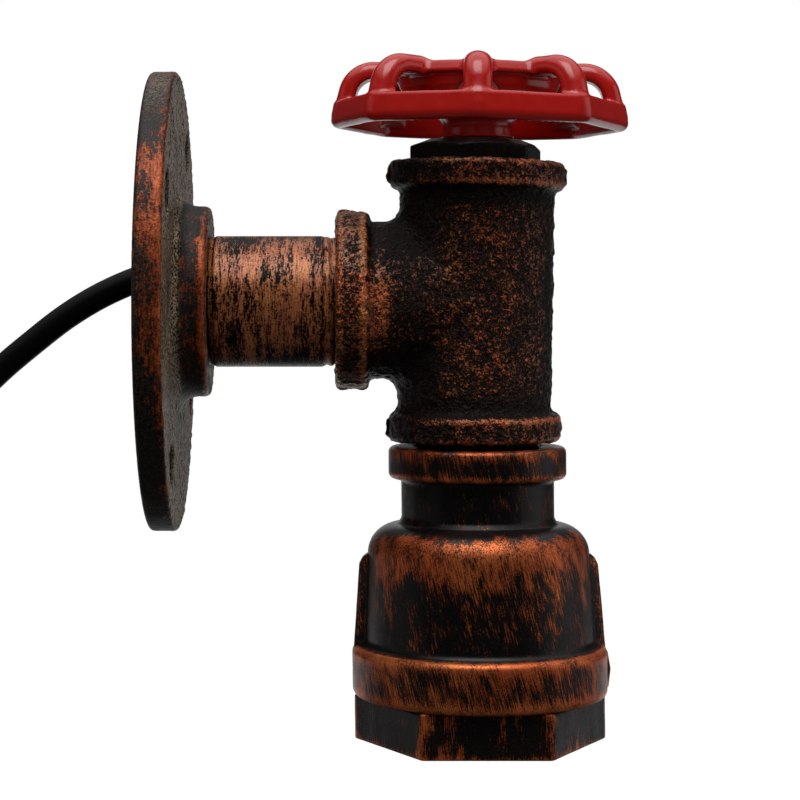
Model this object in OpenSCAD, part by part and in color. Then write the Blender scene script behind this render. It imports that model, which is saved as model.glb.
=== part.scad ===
// Wall light made of threaded iron pipe fittings, with a red valve handwheel
// that turns the rotary switch hidden in the tee.
//
// Origin: centre of the flange's back, on the wall. +X leads away from the
// wall along the arm, +Z is up, and the lamp's open mouth looks down.
// Lengths are in millimetres. Screw threads are left as plain cylinders.

/* [Wall flange] */
// Diameter of the flange plate
flange_d = 94; // [90:0.5:110]
// Thickness of the flange plate
plate_t = 5.5; // [4:0.1:8]
// Diameter of the threaded hub
hub_d = 39; // [36:0.2:46]
// Height of the hub above the plate
hub_h = 6.4; // [5:0.1:12]
// Radius of the fillet between plate and hub
hub_fillet = 2.4; // [1:0.1:4]
// Diameter of the circle that the screw holes stand on
screw_circle_d = 76.4; // [70:0.2:78]
// Diameter of a screw hole
screw_hole_d = 5.5; // [4:0.1:6.5]
// Diameter of a screw hole's countersunk mouth
screw_head_d = 9.6; // [8:0.1:11]
// Turn of the four screw holes past the diagonals, degrees
screw_turn = 11.8; // [-45:0.1:45]

/* [Pipe and threads] */
// Distance from the wall to the upright axis
arm_reach = 66.8; // [64:0.2:90]
// Outer diameter of the pipe
pipe_d = 26.9; // [26.4:0.1:27.3]
// Bore of the pipe
pipe_bore_d = 21.3; // [19:0.1:22]
// Diameter of the small thread
thread_d = 26; // [25.4:0.1:26.2]
// Length of thread screwed into a fitting
thread_grip = 10.5; // [8:0.1:12]
// Diameter of the large thread
big_thread_d = 41; // [40.4:0.1:41.6]
// Gap all round between a screwed piece and its bore
thread_fit = 0.05; // [0.02:0.01:0.1]

/* [Tee] */
// Centre to end of the upright run
tee_run = 28.3; // [27:0.1:34]
// Centre to end of the branch
tee_branch = 29.2; // [28:0.1:34]
// Diameter of the tee's body
tee_body_d = 31.7; // [31:0.1:34]
// Diameter of the beads round its mouths
tee_bead_d = 35.8; // [35:0.1:39]
// Width of the beads on the run
run_bead_w = 5.6; // [4:0.1:8]
// Width of the bead on the branch
branch_bead_w = 6.6; // [4:0.1:8]
// Diameter of the cored space inside
tee_core_d = 26.6; // [26.2:0.1:27.4]
// Radius of the fillet where branch and run meet
crotch_r = 3.6; // [2:0.1:5]
// How far the mould's parting lugs stand out of the run beads
lug_out = 0.5; // [0.3:0.1:1]

/* [Bell] */
// Gap between the tee and the bell, where thread shows
bell_gap = 1.4; // [0.4:0.1:4]
// Height of the bell
bell_h = 51; // [46:0.5:60]
// Diameter of its top bead
bell_bead_d = 36.5; // [36:0.1:40]
// Height of its top bead
bell_bead_h = 6.6; // [5:0.1:8]
// Diameter of its neck
neck_d = 31.4; // [31:0.1:33]
// Height of its neck below the bead
neck_h = 7.4; // [6:0.1:9]
// Diameter of the body just under the shoulder
bell_top_d = 45.4; // [45:0.1:47]
// Diameter of the body at the bottom bead
bell_bottom_d = 47.2; // [46.4:0.1:48.5]
// Radius of the rounded shoulder
shoulder_r = 6.1; // [5:0.1:6.5]
// Diameter of its bottom bead
rim_bead_d = 52.3; // [51:0.1:56]
// Height of its bottom bead
rim_bead_h = 10.4; // [8:0.1:13]
// Thickness of the two wrench ribs
rib_t = 4; // [3:0.1:6]
// How far the casting gate's stub stands out of the bottom bead
gate_out = 0.8; // [0.4:0.1:1.5]

/* [Hex bushing] */
// Size of the hexagon across its flats
hex_af = 44.8; // [43.6:0.1:48]
// Height of the hexagon
hex_h = 8.6; // [6:0.1:12]
// Length of the shank screwed into the bell
shank_h = 14; // [10:0.5:16]
// Diameter over the hexagon's worn corners
hex_corner_d = 51.2; // [50.8:0.1:56]

/* [Top plug] */
// Size of the plug's hexagon across its flats
plug_af = 24.4; // [23:0.1:27]
// Height of the plug's head
plug_h = 4.8; // [4:0.1:7]
// Height of its straight side, under the chamfer
plug_side_h = 3.2; // [2:0.1:3.6]
// Diameter of the flat on top of the head
plug_top_d = 19.4; // [18:0.1:21]
// Turn of the plug's hexagon, degrees
plug_turn = 13.3; // [-30:0.1:30]
// Thickness of the plug's web, which carries the switch
plug_web = 9; // [7:0.1:11]

/* [Handwheel] */
// Diameter over the knuckles at the lower edge
wheel_d = 61; // [58:0.5:70]
// Number of knuckles
knuckle_count = 8; // [6:1:9]
// Width of a knuckle
knuckle_w = 6.1; // [4.5:0.1:7]
// Thickness of a knuckle
knuckle_t = 3.7; // [3:0.1:4.2]
// Outer radius of a knuckle's bend
knuckle_r = 7.5; // [6.5:0.1:8]
// Lean of a knuckle's straight leg, degrees
knuckle_lean = 14; // [8:0.5:16]
// Height of the rim's lower edge above the foot of the hub
rim_lift = 2; // [1:0.1:4]
// Height of the rim
rim_h = 5.6; // [4:0.1:6]
// Thickness of the rim
rim_t = 2.6; // [2:0.1:3.5]
// Size of the bevel along the rim's lower edge
rim_edge = 1.3; // [0.6:0.1:1.8]
// Diameter of the top ring across its corners
ring_d = 37.4; // [35:0.1:39]
// Diameter of the top ring's opening
ring_bore_d = 31; // [29:0.1:32]
// Thickness of the top ring
ring_h = 2.4; // [1.5:0.1:2.5]
// Diameter of the hub's foot
foot_d = 14.8; // [13:0.1:16]
// Diameter of the hub's waist
waist_d = 14; // [12.6:0.1:14.6]
// Height of the hub's boss
boss_h = 9.1; // [8.6:0.1:9.6]
// Diameter of the hub's boss
boss_d = 11; // [10.6:0.1:12]
// Diameter of the four round holes in the dish
dish_hole_d = 9; // [7:0.1:9.8]
// Gap under the hub's foot, where the wheel runs clear of the plug
foot_gap = 0.3; // [0.2:0.05:0.8]
// Turn of the wheel at rest, degrees
wheel_turn = -4; // [-22.5:0.5:22.5]
// Side of the spindle's square, in the hub
square_side = 5; // [4.4:0.1:5.4]

/* [Rotary switch] */
// Diameter of the spindle
spindle_d = 6; // [5.5:0.1:6.5]
// Gap all round the spindle in its bushing
spindle_fit = 0.05; // [0.03:0.01:0.1]
// Diameter of the threaded bushing
bush_d = 10; // [9.4:0.1:10.6]
// Diameter of the switch housing
switch_d = 21; // [20:0.1:22]
// Height of the switch housing
switch_h = 12; // [11:0.1:13]
// Wall of the switch housing
switch_wall = 1.6; // [1.2:0.1:2]
// Thickness of the base that closes the housing
base_t = 1.8; // [1.4:0.1:2.4]
// Diameter of the rotor
rotor_d = 13; // [11:0.1:14]
// Height of the rotor
rotor_h = 5; // [4:0.1:6]
// Angle from off to on, degrees
switch_throw = 90; // [60:1:90]

/* [Lampholder] */
// Outer diameter of the ceramic holder
holder_d = 34.8; // [34:0.1:35.4]
// How far the holder's mouth stands back in the hexagon
mouth_set_back = 2; // [0.5:0.1:4]
// Depth of the well that takes the lamp's cap
well_h = 25; // [24:0.5:26]
// Diameter of the well
well_d = 28.4; // [28:0.1:29]
// Thickness of the well's floor
floor_t = 4.6; // [4:0.1:6]
// Depth of the wiring chamber over the floor
chamber_h = 5.4; // [5:0.1:6.5]
// Bore of the brass shell
shell_bore_d = 26.8; // [26.6:0.1:27]
// Thickness of the brass shell
shell_t = 0.5; // [0.3:0.05:0.7]
// Height of the shell's top above the mouth of the well
shell_h = 20.4; // [18:0.1:21]
// Height of the holder's cap
cap_h = 5.4; // [4.6:0.1:6]
// Diameter of the hollow hanger tube
hanger_d = 10; // [9.4:0.1:10.4]
// Bore of the hanger tube
hanger_bore_d = 8.2; // [7.6:0.1:8.4]
// Thickness of the disc that the hanger tube is clamped to
disc_t = 2; // [1.5:0.1:3]

/* [Hidden] */
$fn = 72;

iron_black = [0.13, 0.11, 0.10];
copper_rub = [0.52, 0.26, 0.15];
wheel_red = [0.64, 0.07, 0.07];
steel = [0.62, 0.63, 0.65];
brass = [0.78, 0.62, 0.30];
phenolic = [0.10, 0.09, 0.09];
porcelain = [0.92, 0.91, 0.87];
cord_black = [0.05, 0.05, 0.06];
core_brown = [0.36, 0.20, 0.10];
core_blue = [0.10, 0.25, 0.62];
core_green = [0.25, 0.55, 0.15];

eps = 0.01;
bead_edge_r = 1.2;

hub_face_x = plate_t + hub_h;
branch_x = arm_reach - tee_branch;
wall_thread_show = 1;
tee_thread_show = 2;

plug_top_z = tee_run + plug_h;
plug_web_z = plug_top_z - plug_web;
plug_wall = 2.4;
plug_end_z = tee_run - thread_grip;

bell_top_z = -(tee_run + bell_gap);
bell_z = bell_top_z - bell_h;
neck_end_z = bell_top_z - bell_bead_h - neck_h;
shoulder_end_z = neck_end_z - 8;
bell_wall = 2.6;
ledge_t = 2.4;

hex_z = bell_z - hex_h;
run_end_z = bell_top_z - thread_grip;
disc_z = run_end_z - disc_t;

wheel_z = plug_top_z + foot_gap;
knuckle_mid_r = knuckle_r - knuckle_t / 2;
bend_x = wheel_d / 2 - knuckle_r - 1.5;
bend_rise = 0.8;
bend_z = rim_lift + rim_h + bend_rise;
ring_sink = 1.1;
ring_top_z = bend_z + knuckle_r - ring_sink;
ring_low_z = ring_top_z - ring_h;
rim_corner_r = wheel_d / 2 - 0.2;
rim_draft = rim_h * tan(knuckle_lean) * 0.6;

spindle_top = 5.2;
washer_d = 9;
washer_t = 0.8;
stud_d = 4;
wheel_nut_af = 7;
wheel_nut_h = 3.2;

jam_nut_af = 14;
jam_nut_h = 2.2;
switch_top_z = plug_end_z - 0.6;
switch_z = switch_top_z - switch_h;
rotor_z = switch_z + base_t + 2.6;
press_fit = 0.03;
blade_t = 0.5;
blade_gap = 0.3;
contact_x = rotor_d / 2 - 0.6;
contact_stem_d = 2;
contact_head_d = 3.2;
contact_block = [4.4, 6, 3.6];
contact_screw_y = contact_block[1] / 4;

holder_z = hex_z + mouth_set_back;
holder_top_z = holder_z + well_h + floor_t + chamber_h;
cap_top_z = holder_top_z + cap_h;
hanger_nut_af = 13;
hanger_nut_h = 3.6;
ring_tag_t = 0.8;
holder_room_d = holder_d + 0.6;
rivet_d = 2.5;
rivet_fit = 0.1;
rivet_head_h = 0.6;
strip_t = 0.5;
strip_w = 4.4;
terminal_x = well_d / 2 - 5;
terminal_block = [4.6, 6, 3.4];
terminal_screw_y = 1.4;
small_screw_d = 2;
small_screw_h = 1.6;
small_head_h = 1;
slot_w = 0.5;

anchor_x = branch_x + thread_grip + 0.1;
anchor_w = 5.4;
anchor_d = pipe_bore_d + 1.7;
anchor_split = 0.6;
anchor_screw_y = 7;
anchor_screw_d = 2.5;
anchor_seat_z = 5;

cord_d = 5.4;
core_d = 1.9;
cord_sides = 12;
core_sides = 8;
// Points along the free cord, from inside the pipe's bore, out at the wall and down.
cord_points = [
    [8, 0, 6], [4, 0, 6], [0, 0, 5.4], [-4.6, 0, 4], [-11.3, 0, 0.9], [-18.1, 0, -3.3], [-24.9, 0, -8.6],
    [-31.5, 0, -14.2], [-37.5, 0, -20.4], [-42.5, 0, -27.6], [-46, 0, -35.6], [-48, 0, -44], [-49, 0, -53],
    [-49, 1, -66], [-48, 2, -80], [-46, 3, -95], [-44, 3.5, -110], [-43, 3.5, -125], [-43, 3, -140],
    [-43, 2.5, -155], [-43, 2.5, -169]
];
// Points along the stretch of cord that the arm holds.
sheath_end_x = arm_reach - 11.8;
inside_points = [
    [sheath_end_x, 0, 0], [48, 0, 0], [41, 0, 0.3], [34, 0, 1.4], [27, 0, 3.1], [20, 0, 5], [14, 0, 6],
    [8, 0, 6]
];
// Points along the four inner cores, from the sheath's end to their terminals, with x
// measured from the upright axis.
live_points = [[-11.8, 0, 1.3], [-11, 0, 1.3], [-10, 0, 2.4], [-8.9, 0, 3.4], [-8.1, 0, 3.4]];
neutral_points = [
    [-11.8, -1.1, -0.7], [-10.8, -1.1, -0.7], [-8.3, -1.6, -1.8], [-4.8, -2.4, -5.4], [-2.4, -2.4, -11],
    [-1.5, -1.6, -18], [-1.3, -1.2, -26], [-1.3, -1.2, -36], [-1.3, -1.2, -46], [-1.5, -1.2, -50.5],
    [-2.4, -1.2, -54], [-4, -1.2, -55.8], [-5.8, -1.2, -56.3], [-6.9, -1.2, -56.3]
];
earth_points = [
    [-11.8, 1.1, -0.7], [-10.8, 1.1, -0.7], [-8.4, 2.4, -2.4], [-5.4, 5, -7], [-2.6, 7.4, -13],
    [-0.8, 8.4, -20], [0, 8.6, -27], [0, 8.6, -31], [0, 8.6, -35.2]
];
switched_points = [
    [5.9, 1.8, 1.6], [5.9, 1.8, 0], [5.5, 2, -5], [3.8, 1.8, -11], [2.2, 1.4, -17], [1.4, 1.2, -24],
    [1.3, 1.2, -34], [1.3, 1.2, -46], [1.5, 1.2, -50.5], [2.4, 1.2, -54], [4, 1.2, -55.8],
    [5.8, 1.2, -56.3], [6.9, 1.2, -56.3]
];
// Points along the three cores bared at the free end.
tail_live_points = [
    [-43, 3.7, -169], [-43, 3.7, -172], [-43.4, 4.8, -178], [-44.3, 7, -185], [-45.2, 9.2, -191],
    [-45.8, 10.6, -196]
];
tail_neutral_points = [
    [-44.1, 1.9, -169], [-44.1, 1.9, -172], [-44.9, 1.6, -178], [-46.6, 0.8, -185], [-48.4, 0, -192],
    [-49.4, -0.4, -197]
];
tail_earth_points = [
    [-41.9, 1.9, -169], [-41.9, 1.9, -172], [-41.5, 1.2, -178], [-40.8, -0.6, -185], [-40, -2.6, -193],
    [-39.6, -4, -200]
];
ferrule_h = 8;
ferrule_d = 1.4;

module wall_flange() {
    color(iron_black)
    rotate([0, 90, 0])
    difference() {
        rotate_extrude()
        difference() {
            union() {
                rounded_side(flange_d / 2, plate_t, 0.9);
                rounded_side(hub_d / 2, hub_face_x, 1.1);
                inner_fillet(hub_d / 2, plate_t, hub_fillet);
            }
            translate([0, -1])
            square([thread_d / 2 + thread_fit, hub_face_x + 2]);
        }
        for (turn = [45 : 90 : 315])
            rotate(turn + screw_turn)
            translate([screw_circle_d / 2, 0])
            screw_hole();
    }
}

module screw_hole() {
    sink_h = (screw_head_d - screw_hole_d) / 2;
    translate([0, 0, -1])
    cylinder(h = plate_t + 2, d = screw_hole_d);
    translate([0, 0, plate_t - sink_h])
    cylinder(h = sink_h + eps, d1 = screw_hole_d, d2 = screw_head_d + 2 * eps);
}

module arm_nipple() {
    start_x = hub_face_x - thread_grip;
    end_x = branch_x + thread_grip;
    color(copper_rub)
    rotate([0, 90, 0])
    difference() {
        union() {
            translate([0, 0, start_x])
            cylinder(h = end_x - start_x, d = thread_d);
            translate([0, 0, hub_face_x + wall_thread_show])
            cylinder(h = branch_x - tee_thread_show - hub_face_x - wall_thread_show, d = pipe_d);
        }
        translate([0, 0, start_x - 1])
        cylinder(h = end_x - start_x + 2, d = pipe_bore_d);
    }
}

module tee() {
    color(copper_rub)
    translate([arm_reach, 0, 0])
    difference() {
        union() {
            for (side = [0, 180])
                rotate([side, 0, 0])
                tee_arm(tee_run, run_bead_w);
            rotate([0, -90, 0])
            tee_arm(tee_branch, branch_bead_w);
            for (side = [0, 1])
                mirror([0, 0, side])
                crotch_fillet(tee_body_d / 2, crotch_r);
            for (side = [-1, 1], level = [-1, 1])
                parting_lug(side, level);
        }
        for (side = [0, 180])
            rotate([side, 0, 0])
            tee_bore(tee_run);
        rotate([0, -90, 0])
        tee_bore(tee_branch);
    }
}

module tee_arm(reach, bead_w) {
    rotate_extrude()
    union() {
        square([tee_body_d / 2, reach]);
        translate([0, reach - bead_w])
        rounded_side(tee_bead_d / 2, bead_w, bead_edge_r);
    }
}

module tee_bore(reach) {
    cylinder(h = reach - thread_grip - disc_t, d = tee_core_d);
    cylinder(h = reach + 1, d = thread_d + 2 * thread_fit);
}

// Lug that the mould's parting line leaves on a run bead.
module parting_lug(side, level) {
    lug_h = run_bead_w - 2 * bead_edge_r;
    translate([
        side * (tee_bead_d / 2 + lug_out - 2), 0,
        level * (tee_run - run_bead_w / 2)
    ])
    cube([4, 2.2, lug_h], center = true);
}

// Ball-rolled fillet in the upper crotch of two crossing cylinders of radius
// body_r: the ball touches both, so each ring is an arc of the ball itself.
module crotch_fillet(body_r, ball_r) {
    reach = body_r + ball_r;
    sink = 0.08;
    root = 1.4;
    span = 80;
    steps = 20;
    arc_steps = 6;
    skin([
        for (i = [0 : steps])
            let (
                a = -span + 2 * span * i / steps,
                away = reach * cos(a),
                side = reach * sin(a),
                ball = [-away, side, away],
                to_run = [away, -side, 0] / reach,
                to_branch = [0, -side, -away] / reach
            )
            concat(
                [ball + (to_run + to_branch) * (ball_r + root) * (1 - pow(sin(a), 2) / 2)],
                [
                    for (k = [arc_steps : -1 : 0])
                        let (t = k / arc_steps, way = to_run * (1 - t) + to_branch * t)
                        ball + (ball_r + sink) * unit(way)
                ]
            )
    ]);
}

module run_nipple() {
    top_z = -tee_run + thread_grip;
    color(iron_black)
    translate([arm_reach, 0, run_end_z])
    difference() {
        cylinder(h = top_z - run_end_z, d = thread_d);
        translate([0, 0, -1])
        cylinder(h = top_z - run_end_z + 2, d = pipe_bore_d);
    }
}

module bell() {
    color(copper_rub)
    translate([arm_reach, 0, bell_z])
    difference() {
        union() {
            rotate_extrude()
            bell_outline();
            for (side = [0, 1])
                mirror([side, 0, 0])
                wrench_rib();
            gate_stub();
        }
        rotate_extrude()
        bell_inside();
    }
}

// Outline from the axis, with its foot at zero.
module bell_outline() {
    neck_z = neck_end_z - bell_z;
    shoulder_z = shoulder_end_z - bell_z;
    rounded_side(rim_bead_d / 2, rim_bead_h, 1.6);
    inner_fillet((bell_bottom_d - 0.2) / 2, rim_bead_h, 1.4);
    polygon([
        [0, 0], [bell_bottom_d / 2, 0], [bell_bottom_d / 2, rim_bead_h],
        [bell_top_d / 2, shoulder_z], [0, shoulder_z]
    ]);
    translate([bell_top_d / 2 - shoulder_r, shoulder_z])
    intersection() {
        circle(r = shoulder_r);
        square(shoulder_r);
    }
    square([bell_top_d / 2 - shoulder_r, shoulder_z + shoulder_r]);
    square([neck_d / 2, bell_h - 1]);
    translate([0, neck_z - 2])
    inner_fillet(neck_d / 2, 0.1, 1.8);
    translate([0, bell_h - bell_bead_h])
    rounded_side(bell_bead_d / 2, bell_bead_h, bead_edge_r);
}

module bell_inside() {
    bore_end = bell_h - thread_grip - disc_t;
    cone_top = bore_end - ledge_t;
    cone_end = shoulder_end_z - bell_z;
    thread_end = shank_h + 4;
    translate([0, bore_end])
    square([thread_d / 2 + thread_fit, bell_h]);
    translate([0, cone_top - 1])
    square([pipe_bore_d / 2, ledge_t + 2]);
    polygon([
        [0, cone_top], [pipe_bore_d / 2, cone_top],
        [bell_top_d / 2 - bell_wall, cone_end], [bell_top_d / 2 - bell_wall, thread_end - eps],
        [0, thread_end - eps]
    ]);
    translate([0, -1])
    square([big_thread_d / 2 + thread_fit, thread_end + 1]);
}

// Rib down the side of the bell, which a pipe wrench grips.
module wrench_rib() {
    shoulder_z = shoulder_end_z - bell_z;
    root_x = bell_top_d / 2 - 1;
    rib_out = 1.8;
    foot_x = rim_bead_d / 2 - 0.3;
    foot_z = rim_bead_h - 2;
    rotate([90, 0, 0])
    translate([0, 0, -rib_t / 2])
    linear_extrude(rib_t)
    polygon([
        [root_x, foot_z], [foot_x, foot_z], [foot_x, foot_z + 3],
        [bell_top_d / 2 + rib_out, shoulder_z - 2.2],
        [bell_top_d / 2 + rib_out / 2, shoulder_z - 0.6], [root_x, shoulder_z + 0.4]
    ]);
}

// Stub of the casting gate, on the side of the bottom bead away from the wall.
module gate_stub() {
    stub_t = 2.4;
    root_x = rim_bead_d / 2 - 2;
    low_z = 1.6;
    high_z = rim_bead_h - 1.2;
    rotate([90, 0, 0])
    translate([0, 0, -stub_t / 2])
    linear_extrude(stub_t)
    polygon([
        [root_x, low_z], [rim_bead_d / 2 + gate_out / 2, low_z],
        [rim_bead_d / 2 + gate_out, rim_bead_h / 2], [rim_bead_d / 2 + gate_out / 4, high_z],
        [root_x, high_z]
    ]);
}

module hex_bushing() {
    mouth_bevel = 0.8;
    color(iron_black)
    translate([arm_reach, 0, hex_z])
    difference() {
        union() {
            intersection() {
                cylinder(h = hex_h, r = hex_af / 2 / cos(30), $fn = 6);
                cylinder(h = hex_h, d = hex_corner_d);
            }
            cylinder(h = hex_h + shank_h, d = big_thread_d);
        }
        translate([0, 0, -1])
        cylinder(h = hex_h + shank_h + 2, d = holder_room_d);
        translate([0, 0, -eps])
        cylinder(h = mouth_bevel, d1 = holder_room_d + 2 * mouth_bevel, d2 = holder_room_d);
    }
}

module top_plug() {
    color(iron_black)
    translate([arm_reach, 0, 0])
    difference() {
        union() {
            translate([0, 0, tee_run])
            plug_head();
            translate([0, 0, plug_end_z])
            cylinder(h = thread_grip + 1, d = thread_d);
        }
        translate([0, 0, plug_end_z - 1])
        cylinder(h = plug_web_z - plug_end_z + 1, d = thread_d - 2 * plug_wall);
        translate([0, 0, plug_web_z - 1])
        cylinder(h = plug_web + 2, d = bush_d + 2 * thread_fit);
    }
}

// Hexagon under a cone that cuts its corners down to the straight side's height.
module plug_head() {
    corner_r = plug_af / 2 / cos(30);
    over = 1;
    fall = over * (plug_h - plug_side_h) / (corner_r - plug_top_d / 2);
    intersection() {
        rotate(plug_turn)
        cylinder(h = plug_h, r = corner_r, $fn = 6);
        translate([0, 0, -1])
        rotate_extrude()
        polygon([
            [0, 0], [corner_r + over, 0], [corner_r + over, 1 + plug_side_h - fall],
            [plug_top_d / 2, 1 + plug_h], [0, 1 + plug_h]
        ]);
    }
}

module handwheel() {
    color(wheel_red)
    translate([arm_reach, 0, wheel_z])
    rotate(wheel_turn)
    difference() {
        union() {
            wheel_rim();
            top_ring();
            dish();
            for (i = [0 : knuckle_count - 1])
                rotate(360 / knuckle_count * i)
                knuckle();
        }
        translate([0, 0, -1])
        linear_extrude(boss_h + 2)
        square(square_side + 2 * spindle_fit, center = true);
        for (turn = [0 : 90 : 270])
            rotate(turn)
            dish_hole();
    }
}

// Skirt with a corner under each knuckle, leaning in like the knuckles' legs.
module wheel_rim() {
    translate([0, 0, rim_lift])
    difference() {
        union() {
            cylinder(h = rim_edge, r1 = rim_corner_r - rim_edge, r2 = rim_corner_r, $fn = knuckle_count);
            translate([0, 0, rim_edge])
            cylinder(
                h = rim_h - rim_edge, r1 = rim_corner_r, r2 = rim_corner_r - rim_draft,
                $fn = knuckle_count
            );
        }
        translate([0, 0, -1])
        cylinder(
            h = rim_h + 2, r = rim_corner_r - rim_draft - rim_t / cos(180 / knuckle_count),
            $fn = knuckle_count
        );
    }
}

// Bar that rises from a corner of the rim, bends inward and ends on the top ring.
module knuckle() {
    bend_steps = 8;
    foot_share = 0.62;
    end_share = 0.7;
    down = [sin(knuckle_lean), 0, -cos(knuckle_lean)];
    leg_top = on_bend(knuckle_lean);
    leg = (leg_top[2] - rim_lift) / cos(knuckle_lean);
    skin(concat(
        [
            knuckle_ring(leg_top + down * leg, knuckle_lean, foot_share),
            knuckle_ring(leg_top + down * (leg - rim_edge), knuckle_lean, 1)
        ],
        [
            for (i = [0 : bend_steps])
                let (a = knuckle_lean + (90 - knuckle_lean) * i / bend_steps)
                knuckle_ring(on_bend(a), a, 1)
        ],
        [
            knuckle_ring([ring_bore_d / 2 + 1.4, 0, bend_z + knuckle_mid_r], 90, 1),
            knuckle_ring([ring_bore_d / 2 + 0.6, 0, bend_z + knuckle_mid_r], 90, end_share)
        ]
    ));
}

// Point on the middle of a knuckle's bend, at an angle from straight out to straight up.
function on_bend(a) = [bend_x + knuckle_mid_r * cos(a), 0, bend_z + knuckle_mid_r * sin(a)];

// Rounded section of a knuckle, square to its bar.
function knuckle_ring(middle, a, size) = [
    for (k = [0 : 15])
        let (
            x = size * knuckle_t / 2 * rounded(cos(22.5 * k)),
            y = size * knuckle_w / 2 * rounded(sin(22.5 * k))
        )
        middle + [x * cos(a), y, x * sin(a)]
];

function rounded(v) = sign(v) * pow(abs(v), 0.7);

module top_ring() {
    ring_draft = 0.6;
    translate([0, 0, ring_low_z])
    difference() {
        cylinder(h = ring_h, r1 = ring_d / 2, r2 = ring_d / 2 - ring_draft, $fn = knuckle_count);
        translate([0, 0, -1])
        cylinder(h = ring_h + 2, d = ring_bore_d);
    }
}

// Hub with its trumpet foot, opening into the bowl that carries the top ring.
module dish() {
    flare_r = 2.6;
    flare_x = waist_d / 2 + flare_r;
    flare_z = rim_lift + 0.2;
    lap = 0.4;
    lip = 1.2;
    seat_x = boss_d / 2 + 2.6;
    seat_z = rim_lift + 4.4;
    rotate_extrude()
    polygon(concat(
        [[0, 0], [foot_d / 2, 0]],
        [for (a = [0 : 15 : 75]) [flare_x - flare_r * cos(a), flare_z + flare_r * sin(a)]],
        bowl_arc([flare_x, flare_z + flare_r], [ring_bore_d / 2 + lip, ring_low_z - 0.6], 0, 90),
        [[ring_bore_d / 2 + lip, ring_low_z + lap]],
        bowl_arc([seat_x, seat_z], [ring_bore_d / 2, ring_low_z + lap], 90, 0),
        [[boss_d / 2, seat_z], [boss_d / 2, boss_h], [0, boss_h]]
    ));
}

// Quarter of an ellipse from its lowest point, low, to its outermost point, out, as angles run.
function bowl_arc(low, out, from, to) = [
    for (i = [0 : 5])
        let (a = from + (to - from) * i / 5)
        [low[0] + (out[0] - low[0]) * sin(a), out[1] - (out[1] - low[1]) * cos(a)]
];

module dish_hole() {
    hole_x = (waist_d + ring_bore_d) / 4 + 1.2;
    hole_z = (rim_lift + ring_top_z + 1) / 2;
    translate([hole_x, 0, hole_z])
    rotate([0, -45, 0])
    cylinder(h = 8, d = dish_hole_d, center = true);
}

module spindle() {
    low_z = rotor_z - 1.4;
    square_end = wheel_z + boss_h;
    color(steel)
    translate([arm_reach, 0, 0])
    rotate(wheel_turn) {
        translate([0, 0, low_z])
        cylinder(h = wheel_z - low_z, d = spindle_d);
        translate([0, 0, wheel_z - eps])
        linear_extrude(boss_h + eps - 0.1)
        square(square_side, center = true);
        translate([0, 0, square_end - 1])
        cylinder(h = 1 + spindle_top, d = stud_d);
    }
}

module wheel_washer() {
    color(steel)
    translate([arm_reach, 0, wheel_z + boss_h])
    difference() {
        cylinder(h = washer_t, d = washer_d);
        translate([0, 0, -1])
        cylinder(h = washer_t + 2, d = stud_d + 0.3);
    }
}

module wheel_nut() {
    color(steel)
    translate([arm_reach, 0, wheel_z + boss_h + washer_t])
    rotate(wheel_turn)
    difference() {
        intersection() {
            cylinder(h = wheel_nut_h, r = wheel_nut_af / 2 / cos(30), $fn = 6);
            cylinder(h = wheel_nut_h, d1 = wheel_nut_af + 3, d2 = wheel_nut_af + 0.4);
        }
        translate([0, 0, -1])
        cylinder(h = wheel_nut_h + 2, d = stud_d + 2 * thread_fit);
    }
}

module switch_bushing() {
    bush_end = plug_top_z - 0.4;
    color(brass)
    translate([arm_reach, 0, switch_top_z])
    difference() {
        cylinder(h = bush_end - switch_top_z, d = bush_d);
        translate([0, 0, -1])
        cylinder(h = bush_end - switch_top_z + 2, d = spindle_d + 2 * spindle_fit);
    }
}

module switch_jam_nut() {
    color(brass)
    translate([arm_reach, 0, plug_web_z - jam_nut_h])
    difference() {
        cylinder(h = jam_nut_h, r = jam_nut_af / 2 / cos(30), $fn = 6);
        translate([0, 0, -1])
        cylinder(h = jam_nut_h + 2, d = bush_d + 2 * thread_fit);
    }
}

module switch_housing() {
    color(phenolic)
    translate([arm_reach, 0, switch_z])
    difference() {
        cylinder(h = switch_h, d = switch_d);
        translate([0, 0, -1])
        cylinder(h = switch_h + 1 - switch_wall, d = switch_d - 2 * switch_wall);
        cylinder(h = switch_h + 1, d = spindle_d + 1);
    }
}

module switch_base() {
    base_d = switch_d - 2 * switch_wall - 0.1;
    color(phenolic)
    translate([arm_reach, 0, switch_z])
    difference() {
        cylinder(h = base_t, d = base_d);
        for (side = [-1, 1])
            translate([side * contact_x, 0, -1])
            cylinder(h = base_t + 2, d = contact_stem_d + 0.1);
    }
}

module switch_rotor() {
    color(phenolic)
    translate([arm_reach, 0, rotor_z])
    rotate(wheel_turn)
    difference() {
        cylinder(h = rotor_h, d = rotor_d);
        translate([0, 0, -1])
        cylinder(h = rotor_h + 2, d = spindle_d + 2 * press_fit);
    }
}

// Bridging blade under the rotor: it lies across the two contacts when on.
module switch_blade() {
    blade_w = 3.6;
    tip_gap = 0.2;
    color(brass)
    translate([arm_reach, 0, rotor_z - blade_t])
    rotate(-switch_throw)
    difference() {
        union() {
            cylinder(h = blade_t, d = spindle_d + 3);
            translate([-rotor_d / 2 + tip_gap, -blade_w / 2, 0])
            cube([rotor_d - 2 * tip_gap, blade_w, blade_t]);
        }
        translate([0, 0, -1])
        cylinder(h = blade_t + 2, d = spindle_d + 2 * press_fit);
    }
}

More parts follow.
